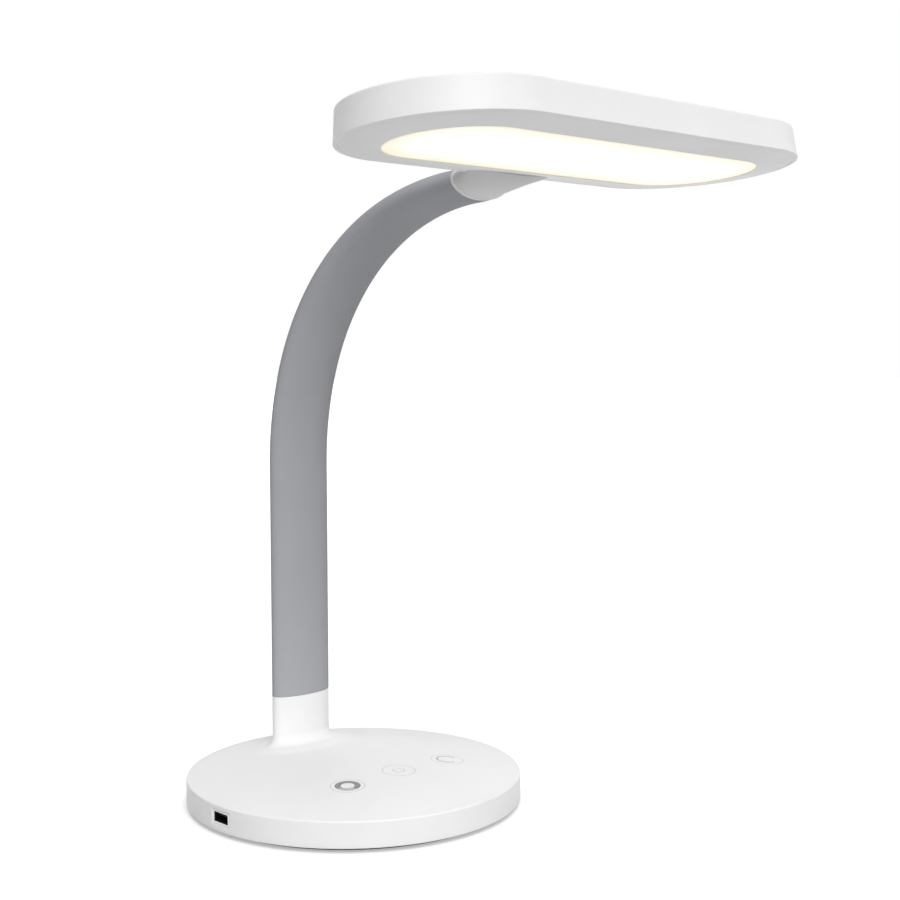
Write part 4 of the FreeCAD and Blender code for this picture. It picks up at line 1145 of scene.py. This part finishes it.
    @staticmethod
    def cut_walls(mesh: bmesh.types.BMesh, near: Callable[[Vector], bool],
                  cuts: Sequence[tuple[Vector, Vector]], inside: Callable[[Vector], bool]) -> None:
        """Cut a window through the rim's two walls.

        Args:
            mesh: The cover.
            near: Picks faces by their middle that the cuts may touch.
            cuts: Points and directions of the cutting planes.
            inside: Picks the faces that fall out.
        """
        def upright(face: bmesh.types.BMFace) -> bool:
            """Whether a face belongs to a wall, not to the roof or the lower edge."""
            return abs(face.normal.z) < 0.5

        for point, direction in cuts:
            local = [face for face in mesh.faces if near(face.calc_center_median()) and upright(face)]
            bmesh.ops.bisect_plane(mesh, geom=parts_of(local), dist=1e-7, plane_co=point, plane_no=direction)
        gone = [face for face in mesh.faces if inside(face.calc_center_median()) and upright(face)]
        bmesh.ops.delete(mesh, geom=gone, context="FACES")

    def usb_window(self, mesh: bmesh.types.BMesh) -> None:
        """Rectangular window in the rim for the charging port.

        Args:
            mesh: The cover.
        """
        low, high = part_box("usb_frame")
        gap = Vector((0.0, self.port_gap, self.port_gap))
        low, high = low - gap, high + gap
        middle = (low + high) / 2
        cuts = [(Vector((0, end.y, 0)), Vector((0, 1, 0))) for end in (low, high)]
        cuts += [(Vector((0, 0, end.z)), Vector((0, 0, 1))) for end in (low, high)]
        self.cut_walls(mesh, lambda p: p.x < -self.rim_inside and abs(p.y - middle.y) < self.port_reach, cuts,
                       lambda p: p.x < -self.rim_inside and low.y < p.y < high.y and low.z < p.z < high.z)
        self.line_window(mesh)

    def line_window(self, mesh: bmesh.types.BMesh) -> None:
        """Line an opening and take the sharpness off its outer edge.

        Args:
            mesh: The cover.
        """
        made = bmesh.ops.bridge_loops(mesh, edges=open_edges(mesh))["faces"]
        lining = set(made)
        outer = {edge for face in made for edge in face.edges
                 if any(other not in lining for other in edge.link_faces)
                 and all(math.hypot(*vert.co.xy) > self.mid_wall for vert in edge.verts)}
        bmesh.ops.bevel(mesh, geom=list(outer), offset=self.window_edge, segments=3, profile=0.5,
                        affect="EDGES", material=-1, clamp_overlap=True)

    def jack_window(self, mesh: bmesh.types.BMesh) -> None:
        """Round window in the back of the rim for the power inlet.

        Args:
            mesh: The cover.
        """
        low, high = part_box("power_inlet")
        level = (low.z + high.z) / 2
        square = self.jack_radius + self.jack_margin
        cuts = [(Vector((side * square, 0, 0)), Vector((1, 0, 0))) for side in (-1, 1)]
        cuts += [(Vector((0, 0, level + side * square)), Vector((0, 0, 1))) for side in (-1, 1)]
        self.cut_walls(mesh, lambda p: p.y > self.rim_inside and abs(p.x) < self.jack_reach, cuts,
                       lambda p: p.y > self.rim_inside and abs(p.x) < square and abs(p.z - level) < square)
        loops = {True: [], False: []}
        for item in open_edges(mesh):
            loops[math.hypot(*item.verts[0].co.xy) > self.mid_wall].append(item)
        rims = []
        for outside, border in loops.items():
            reach = self.diameter / 2 if outside else self.diameter / 2 - self.wall
            made = bmesh.ops.create_circle(mesh, cap_ends=False, radius=self.jack_radius,
                                           segments=self.jack_segments)
            bmesh.ops.rotate(mesh, verts=made["verts"], cent=(0, 0, 0),
                             matrix=Matrix.Rotation(math.pi / 2, 3, "X"))
            for vert in made["verts"]:
                vert.co = Vector((vert.co.x, math.sqrt(reach ** 2 - vert.co.x ** 2), vert.co.z + level))
            ring = list({item for vert in made["verts"] for item in vert.link_edges})
            bmesh.ops.bridge_loops(mesh, edges=border + ring)
            rims += ring
        bmesh.ops.bridge_loops(mesh, edges=rims)

    def cover(self) -> None:
        """Cover, dome and foot in one moulding."""
        skin = self.cover_skin()
        bmesh.ops.recalc_face_normals(skin.mesh, faces=skin.mesh.faces)
        self.usb_window(skin.mesh)
        self.jack_window(skin.mesh)
        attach(self.piece(skin.mesh, "base_shell", SHELL, ["base_cover"]), Body.BASE.value)

    def print_stroke(self, stroke: Stroke) -> None:
        """Print a ring or an arc on the dome.

        Args:
            stroke: The stroke.
        """
        skin = Skin(self.stroke_segments)
        count = max(6, round(stroke.sweep / self.stroke_turn))
        turns = spaced(stroke.start, stroke.start + stroke.sweep, count)
        centre = Matrix.Translation((stroke.column * self.mark_pitch, self.mark_row, self.top))
        upright = Matrix.Rotation(math.pi / 2, 4, "X")
        for turn in turns[:-1] if stroke.closed() else turns:
            arm = Matrix.Rotation(math.radians(turn), 4, "Z") @ Matrix.Translation((stroke.radius, 0.0, 0.0))
            skin.step(Oval(stroke.width, self.mark_thick), centre @ arm @ upright, self.dome)
        if stroke.closed():
            skin.join_ends()
        else:
            skin.cap().cap_first()
        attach(self.piece(skin.mesh, stroke.name, stroke.ink, [stroke.node]), Body.BASE.value)

    def controls(self) -> None:
        """Brightness, power and light mode, each a symbol in a thin ring."""
        for stroke in self.strokes:
            self.print_stroke(stroke)

    def build(self) -> None:
        """Make and dress the base."""
        self.cover()
        self.controls()
        self.dress(DARK, "base_plate", "power_inlet")
        self.dress(PAD, "rest_pad")
        self.dress(STEEL, "base_screws", "board_screws", "neck_anchor", "anchor_screws")
        self.dress(BALLAST, "ballast_plate")
        self.dress(BOARD, "touch_board", "control_board")
        self.dress(PORT_FRAME, "usb_frame")
        self.dress(PORT_STEEL, "usb_shell")
        self.dress(PORT_TONGUE, "usb_tongue")


@dataclass
class NeckSleeve(SubAssembly):
    """Grey sleeve over the hinged links, in lengths that each bend over one joint."""

    line: NeckLine
    swivel: int = 2
    segments: int = 96
    ring_step: float = 1.0 * MM
    wall: float = 1.8 * MM
    end_gap: float = 0.3 * MM
    tuck: float = 1.8 * MM
    narrowing: float = 0.7 * MM
    narrowing_run: float = 9.0 * MM

    def length_between(self, start: float, finish: float, soft_start: bool, soft_finish: bool) -> Skin:
        """Tube of the sleeve between two distances.

        Args:
            start: Distance at which it starts.
            finish: Distance at which it ends.
            soft_start: Round the starting edge, where the sleeve meets the foot.
            soft_finish: Round the finishing edge, where it meets the collar.

        Returns:
            The tube's closed skin.
        """
        skin = Skin(self.segments)
        outline = Oval(self.line.width, self.line.depth)
        count = max(2, round((finish - start) / self.ring_step))
        gap = self.end_gap
        dive = finish - self.narrowing_run

        def around(distance: float, grow: float = 0.0) -> Oval:
            """Outline at a distance, drawn in a little where the sleeve dives under the collar."""
            share = ramp(distance, dive, dive + self.narrowing_run) if soft_finish else 0.0
            return outline.grown(grow - self.narrowing * share * share)

        if soft_start:
            skin.step(outline.grown(-gap), self.line.at(start))
            skin.step(outline.grown(-gap * 0.3), self.line.at(start + gap * 0.4))
            start += gap
        rings = spaced(start, finish, count)
        for distance in rings[:-1] if soft_finish else rings:
            skin.step(around(distance), self.line.at(distance))
        if soft_finish:
            skin.step(around(finish - gap), self.line.at(finish - gap))
            skin.step(around(finish, -gap), self.line.at(finish))
            finish -= gap
        for distance in spaced(finish, start, count):
            skin.step(around(distance, -self.wall), self.line.at(distance))
        return skin.join_ends()

    def build(self) -> None:
        """Make the nine lengths of the sleeve and dress the links inside."""
        bodies = list(Body)
        marks = self.line.stations()
        middles = [(low + high) / 2 for low, high in zip(marks, marks[1:])]
        cuts = [0.0] + middles + [marks[-1] + self.tuck]
        last = len(bodies)
        for index, (start, finish) in enumerate(zip(cuts, cuts[1:])):
            skin = self.length_between(start, finish, index == 0, index == last)
            node = f"neck_sleeve_{min(index + 1, last)}"
            thing = self.piece(skin.mesh, f"sleeve_length_{index + 1}", SLEEVE, [node])
            if index in (0, last):
                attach(thing, bodies[min(index, last - 1)].value)
            else:
                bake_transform(thing, bodies[index - 1].value, bodies[index].value,
                         start=self.line.at(start).translation, end=self.line.at(finish).translation)
        count = range(1, last + 1)
        self.dress(STEEL, *[f"neck_link_{number}" for number in count], "swivel_pin",
                   *[f"hinge_pin_{number}" for number in count[:-1] if number != self.swivel])
        self.dress(LEAD, *[f"neck_lead_{number}" for number in count])


@dataclass
class LightPanel(SubAssembly):
    """Shallow stadium-shaped head: housing, dished bezel and glowing lens."""

    line: NeckLine
    tilt: float = 5.42
    collar_length: float = 18.6 * MM
    collar_rise: float = 3.36 * MM
    segments: int = 240
    outline: Stadium = Stadium(290.4 * MM, 114.5 * MM)
    thick: float = 16.5 * MM
    draft: float = 1.6 * MM
    wall: float = 2.2 * MM
    edge: float = 1.2 * MM
    edge_land: float = 0.8 * MM
    lower_edge: float = 0.4 * MM
    bezel_steps: int = 6
    bezel_edge: float = 0.2 * MM
    bezel_gap: float = 0.06 * MM
    bezel_drop: float = 2.45 * MM
    bezel_thick: float = 2.2 * MM
    lens: Stadium = Stadium(246.6 * MM, 72.9 * MM)
    lens_recess: float = 0.4 * MM
    lens_thick: float = 2.0 * MM
    lens_lip: float = 2.6 * MM
    lens_rebate: float = 0.5 * MM
    lens_fit: float = 0.1 * MM
    lens_edge: float = 0.25 * MM
    lens_rings: tuple[float, ...] = (24.0 * MM, 12.0 * MM, 5.0 * MM, 0.5 * MM)

    def __post_init__(self) -> None:
        """Hang the middle of the head's lower outline from the neck's end."""
        end = self.line.at(self.line.length()).translation
        turn = Matrix.Rotation(math.radians(-self.tilt), 4, "X")
        back = Vector((0.0, end.y - self.collar_length, end.z + self.collar_rise))
        half = turn @ Vector((0.0, self.outline.width / 2, 0.0))
        self.place = Matrix.Translation(back - half) @ turn

    def at(self, height: float) -> Matrix:
        """Placement of a level of the head."""
        return self.place @ rise(height)

    def housing(self) -> None:
        """White housing with drafted sides, open below."""
        skin = Skin(self.segments)
        top = self.outline.grown(-self.draft)
        skin.step(top.grown(-self.edge - self.edge_land), self.at(self.thick))
        skin.round_over(top.grown(-self.edge), self.at(self.thick - self.edge), self.edge, 90, 0, 7)
        slope = self.draft / (self.thick - self.edge)
        high = self.thick - self.edge - 0.5 * MM
        skin.step(self.outline.grown(-slope * high), self.at(high))
        low = self.lower_edge
        skin.step(self.outline.grown(-slope * low * 1.6), self.at(1.6 * low))
        skin.round_over(self.outline.grown(-low), self.at(low), low, 0, -90, 4, slope)
        skin.step(self.outline.grown(-self.wall), self.at(0.0))
        roof = self.thick - self.wall
        skin.step(self.outline.grown(-self.wall - self.draft), self.at(roof))
        skin.cap().cap_first()
        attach(self.piece(skin.mesh, "head_housing", SHELL, ["head_cover"]), Body.HEAD.value)

    def bezel(self) -> None:
        """Dished frame around the lens."""
        skin = Skin(self.segments)
        rim = self.outline.grown(-self.wall - self.bezel_gap)
        soft, drop, lens = self.bezel_edge, self.bezel_drop, self.lens
        skirt = self.draft * self.bezel_thick / (self.thick - self.wall)
        skin.step(rim.grown(-skirt), self.at(self.bezel_thick))
        skin.step(rim, self.at(soft))
        skin.step(rim.grown(-0.3 * soft), self.at(0.25 * soft))
        skin.step(rim.grown(-soft), self.at(-0.05 * soft))
        for share in spaced(0, 1, self.bezel_steps)[1:-1]:
            skin.step(rim.grown(-soft).toward(lens.grown(soft), share), self.at(-(drop - 0.1 * soft) * share))
        opening = lens.grown(-self.lens_rebate + self.lens_fit)
        for outline, height in ((lens.grown(soft), 0.1), (lens.grown(0.5 * soft), 0.0),
                                (opening.grown(0.6 * soft), 0.0), (opening.grown(0.15 * soft), 0.15),
                                (opening, 0.6)):
            skin.step(outline, self.at(-drop + height * soft))
        ledge = self.lens_recess - drop + self.lens_thick / 2
        seat = lens.grown(self.lens_lip + self.lens_fit)
        skin.step(opening, self.at(ledge)).step(seat, self.at(ledge)).step(seat, self.at(self.bezel_thick))
        skin.join_ends()
        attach(self.piece(skin.mesh, "head_frame", SHELL, ["head_bezel"]), Body.HEAD.value)

    def diffuser(self) -> None:
        """Milky lens with a stepped edge."""
        skin = Skin(self.segments)
        face = self.lens.grown(-self.lens_rebate)
        level = self.lens_recess - self.bezel_drop
        soft = self.lens_edge
        for inset in self.lens_rings:
            skin.step(face.grown(-inset), self.at(level))
        skin.round_over(face.grown(-soft), self.at(level + soft), soft, -90, 0, 4)
        ledge = level + self.lens_thick / 2
        lip = self.lens.grown(self.lens_lip)
        skin.step(face, self.at(ledge)).step(lip, self.at(ledge)).step(lip, self.at(level + self.lens_thick))
        skin.cap().cap_first()
        glow = GlowingLens("lens_glow", tuple(self.place.translation), self.place.to_euler().x,
                           face.length, face.width, slot=Slot.LENS)
        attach(self.piece(skin.mesh, "light_lens", glow, ["lens_diffuser"]), Body.HEAD.value)

    def build(self) -> None:
        """Make and dress the head."""
        self.housing()
        self.bezel()
        self.diffuser()
        self.dress(CLEAR, "light_guide")
        self.dress(REFLECTOR, "reflector_sheet")
        self.dress(TRAY, "backing_tray")
        self.dress(LED_BOARD, "led_strips")
        self.dress(STEEL, "head_bracket", "head_screws")


@dataclass
class NeckCollar(SubAssembly):
    """Flared collar between the sleeve's end and the underside of the head.

    Each section gives its distance in front of the neck's end, its lift, width, depth and crown.
    """

    line: NeckLine
    segments: int = 128
    wall: float = 1.6 * MM
    lip_start: float = 2.0 * MM
    lip_end: float = 4.0 * MM
    lip_lift: float = 1.9 * MM
    lip_shape: Oval = Oval(42.6 * MM, 20.7 * MM, 0.75)
    lip_depth: float = 0.5 * MM
    steps: int = 40
    overlap: float = 0.1 * MM
    sections: tuple[tuple[float, float, float, float, float], ...] = (
        (2.0 * MM, 1.8 * MM, 41.6 * MM, 19.7 * MM, 0.73),
        (4.0 * MM, 2.0 * MM, 41.9 * MM, 19.3 * MM, 0.74),
        (10.0 * MM, 2.6 * MM, 45.5 * MM, 16.6 * MM, 0.86),
        (19.0 * MM, 4.0 * MM, 54.5 * MM, 12.6 * MM, 1.05),
        (26.0 * MM, 4.8 * MM, 60.0 * MM, 10.0 * MM, 1.15),
        (32.0 * MM, 5.4 * MM, 60.0 * MM, 7.4 * MM, 1.3),
    )

    def section(self, run: float) -> tuple[float, Oval]:
        """Lift and outline at a distance in front of the neck's end, smoothly through the named ones.

        Args:
            run: Distance in front of the neck's end.

        Returns:
            Lift and outline.
        """
        rows = self.sections
        index = max(0, *(number for number, row in enumerate(rows[:-1]) if row[0] <= run))
        low, high = rows[index], rows[index + 1]
        before, after = rows[max(index - 1, 0)], rows[min(index + 2, len(rows) - 1)]
        gap = high[0] - low[0]
        share = (run - low[0]) / gap
        square, cube = share ** 2, share ** 3
        values = []
        for column in range(1, len(low)):
            start, finish = low[column], high[column]
            enter = (finish - before[column]) / (high[0] - before[0]) * gap
            leave = (after[column] - start) / (after[0] - low[0]) * gap
            values.append((2 * cube - 3 * square + 1) * start + (cube - 2 * square + share) * enter
                          + (3 * square - 2 * cube) * finish + (cube - square) * leave)
        return values[0], Oval(*values[1:])

    def lip(self, end: Matrix) -> None:
        """Raised ring around the collar's mouth.

        Args:
            end: Placement of the neck's end.
        """
        place = end @ Matrix.Translation((0.0, self.lip_lift, 0.0))
        ring, depth, inner = self.lip_shape, self.lip_depth, self.lip_shape.grown(-self.wall)
        soft = 0.4 * depth
        skin = Skin(self.segments)
        skin.step(inner, place @ rise(self.lip_end + depth)).step(inner, place @ rise(self.lip_start))
        skin.step(ring.grown(-0.6 * depth), place @ rise(self.lip_start))
        skin.round_over(ring.grown(-soft), place @ rise(self.lip_start + soft), soft, -90, 0, 3)
        skin.step(ring, place @ rise(self.lip_end - soft))
        skin.step(ring.grown(-0.6 * depth), place @ rise(self.lip_end))
        skin.step(inner, place @ rise(self.lip_end))
        skin.cap().cap_first()
        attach(self.piece(skin.mesh, "neck_collar_lip", LIP, ["neck_collar"]), Body.HEAD.value)

    def shell(self, end: Matrix) -> None:
        """Loft the collar up to where it sinks into the head.

        Args:
            end: Placement of the neck's end.
        """
        skin = Skin(self.segments)
        for run in spaced(self.lip_end - self.overlap, self.sections[-1][0], self.steps):
            lift, outline = self.section(run)
            skin.step(outline, end @ Matrix.Translation((0.0, lift, run)))
        skin.cap().cap_first()
        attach(self.piece(skin.mesh, "neck_collar_shell", COLLAR, ["neck_collar"]), Body.HEAD.value)

    def build(self) -> None:
        """Make the collar's two visible forms."""
        end = self.line.at(self.line.length())
        self.lip(end)
        self.shell(end)


@dataclass
class Studio:
    """Floor, lights, surroundings and camera."""

    floor_radius: float = 12.0
    floor_colour: Colour = (0.62, 0.62, 0.62)
    floor_glow: float = 0.74
    # Painted contact shadow: how far the occlusion mask reaches, the occlusion range it maps, and how dark
    # the floor gets at the base.
    contact_shadow_reach: float = 30.0 * MM
    contact_shadow_range: tuple[float, float] = (0.1, 1.0)
    contact_shadow_darkest: float = 0.55
    ambient: float = 0.285
    softness: float = 33.0
    key: Triple = (240.0, 38.0, 0.69)
    top: Triple = (40.0, 75.0, 0.17)
    camera_spot: Triple = (-574.1 * MM, -678.4 * MM, 271.6 * MM)
    camera_turn: float = 43.99
    camera_pitch: float = 3.94
    camera_roll: float = -0.14
    camera_lens: float = 59.8
    camera_sensor: float = 36.0
    camera_near: float = 10.0 * MM

    def floor(self) -> None:
        """Plain pale floor that keeps the lamp's shadow, with a painted contact shadow: an occlusion mask
        darkens its colour and glow where the base touches it.
        """
        mesh = bmesh.new()
        bmesh.ops.create_circle(mesh, cap_ends=True, radius=self.floor_radius, segments=96)
        data = bpy.data.meshes.new("studio_floor")
        mesh.to_mesh(data)
        mesh.free()
        thing = bpy.data.objects.new("studio_floor", data)
        bpy.context.scene.collection.objects.link(thing)
        graph = Graph(bpy.data.materials.new("studio_floor"))
        # Painted contact shadow: the occlusion mask darkens both the floor's colour and its glow close to the
        # base.
        near = graph.node("ShaderNodeAmbientOcclusion", {"samples": 8}, {"Distance": self.contact_shadow_reach},
                          output="AO")
        clear = self.contact_shadow_darkest + near.rise(*self.contact_shadow_range) * (1 - self.contact_shadow_darkest)
        tint = graph.blend(clear, (0.0, 0.0, 0.0), self.floor_colour)
        matte = graph.node("ShaderNodeBsdfDiffuse", None, {"Color": tint})
        strength = self.seen_directly(graph) * self.floor_glow * clear
        glow = graph.node("ShaderNodeEmission", None, {"Color": (1.0, 1.0, 1.0), "Strength": strength})
        data.materials.append(graph.finish(graph.node("ShaderNodeAddShader", None, {0: matte, 1: glow})))

    @staticmethod
    def seen_directly(graph: Graph) -> Wire:
        """Mask that is 1 for what the camera sees, straight, in a reflection or through clear parts.

        Args:
            graph: Graph to write into.

        Returns:
            The mask.
        """
        outputs = graph.node("ShaderNodeLightPath").socket.node.outputs
        camera, glossy, through = (Wire(graph, outputs[name]) for name in
                                   ("Is Camera Ray", "Is Glossy Ray", "Is Transmission Ray"))
        return camera.most(glossy).most(through)

    def world(self) -> None:
        """Even pale surroundings: white to the eye, plain ambient light to the lamp."""
        world = bpy.data.worlds.new("studio_world")
        bpy.context.scene.world = world
        graph = Graph(world)
        level = self.ambient + self.seen_directly(graph) * (1 - self.ambient)
        back = graph.node("ShaderNodeBackground", None, {"Color": (1.0, 1.0, 1.0), "Strength": level})
        graph.node("ShaderNodeOutputWorld", None, {"Surface": back})

    def light(self, name: str, azimuth: float, elevation: float, level: float) -> None:
        """Large far-off soft light.

        Args:
            name: The light's name.
            azimuth: Where it stands, in degrees from +X towards +Y.
            elevation: Its height above the horizon in degrees.
            level: Brightness that it gives a white surface facing it.
        """
        lamp = bpy.data.lights.new(name, "SUN")
        lamp.angle = math.radians(self.softness)
        lamp.energy = level * math.pi
        thing = bpy.data.objects.new(name, lamp)
        around, up = math.radians(azimuth), math.radians(elevation)
        way = Vector((math.cos(around) * math.cos(up), math.sin(around) * math.cos(up), math.sin(up)))
        thing.rotation_euler = way.to_track_quat("Z", "Y").to_euler()
        bpy.context.scene.collection.objects.link(thing)

    def camera(self) -> None:
        """Camera a little above the middle of the lamp, from its front left."""
        turn, pitch, roll = (math.radians(part) for part in
                             (self.camera_turn, self.camera_pitch, self.camera_roll))
        ahead = Vector((math.sin(turn) * math.cos(pitch), math.cos(turn) * math.cos(pitch), -math.sin(pitch)))
        level = Vector((math.cos(turn), -math.sin(turn), 0.0))
        upward = level.cross(ahead)
        right = level * math.cos(roll) + upward * math.sin(roll)
        above = upward * math.cos(roll) - level * math.sin(roll)
        data = bpy.data.cameras.new("camera")
        data.sensor_width = self.camera_sensor
        data.lens = self.camera_lens
        data.clip_start = self.camera_near
        thing = bpy.data.objects.new("camera", data)
        place = Matrix((right, above, -ahead)).transposed().to_4x4()
        place.translation = Vector(self.camera_spot)
        thing.matrix_world = place
        bpy.context.scene.collection.objects.link(thing)
        bpy.context.scene.camera = thing

    def build(self) -> None:
        """Set the stage."""
        self.camera()
        self.world()
        self.floor()
        self.light("key_light", *self.key)
        self.light("top_light", *self.top)
        bpy.context.scene.view_settings.view_transform = "Standard"


def main() -> None:
    """Build the lamp from the base up and set the stage."""
    logging.basicConfig(level=logging.INFO, format="%(name)s: %(message)s")
    Studio().build()
    base = LampBase()
    base.build()
    line = NeckLine(Vector((0.0, base.neck_y, base.high.z)), base.foot.width, base.foot.depth)
    for part in (NeckSleeve(line), LightPanel(line), NeckCollar(line)):
        part.build()


if __name__ == "__main__":
    main()
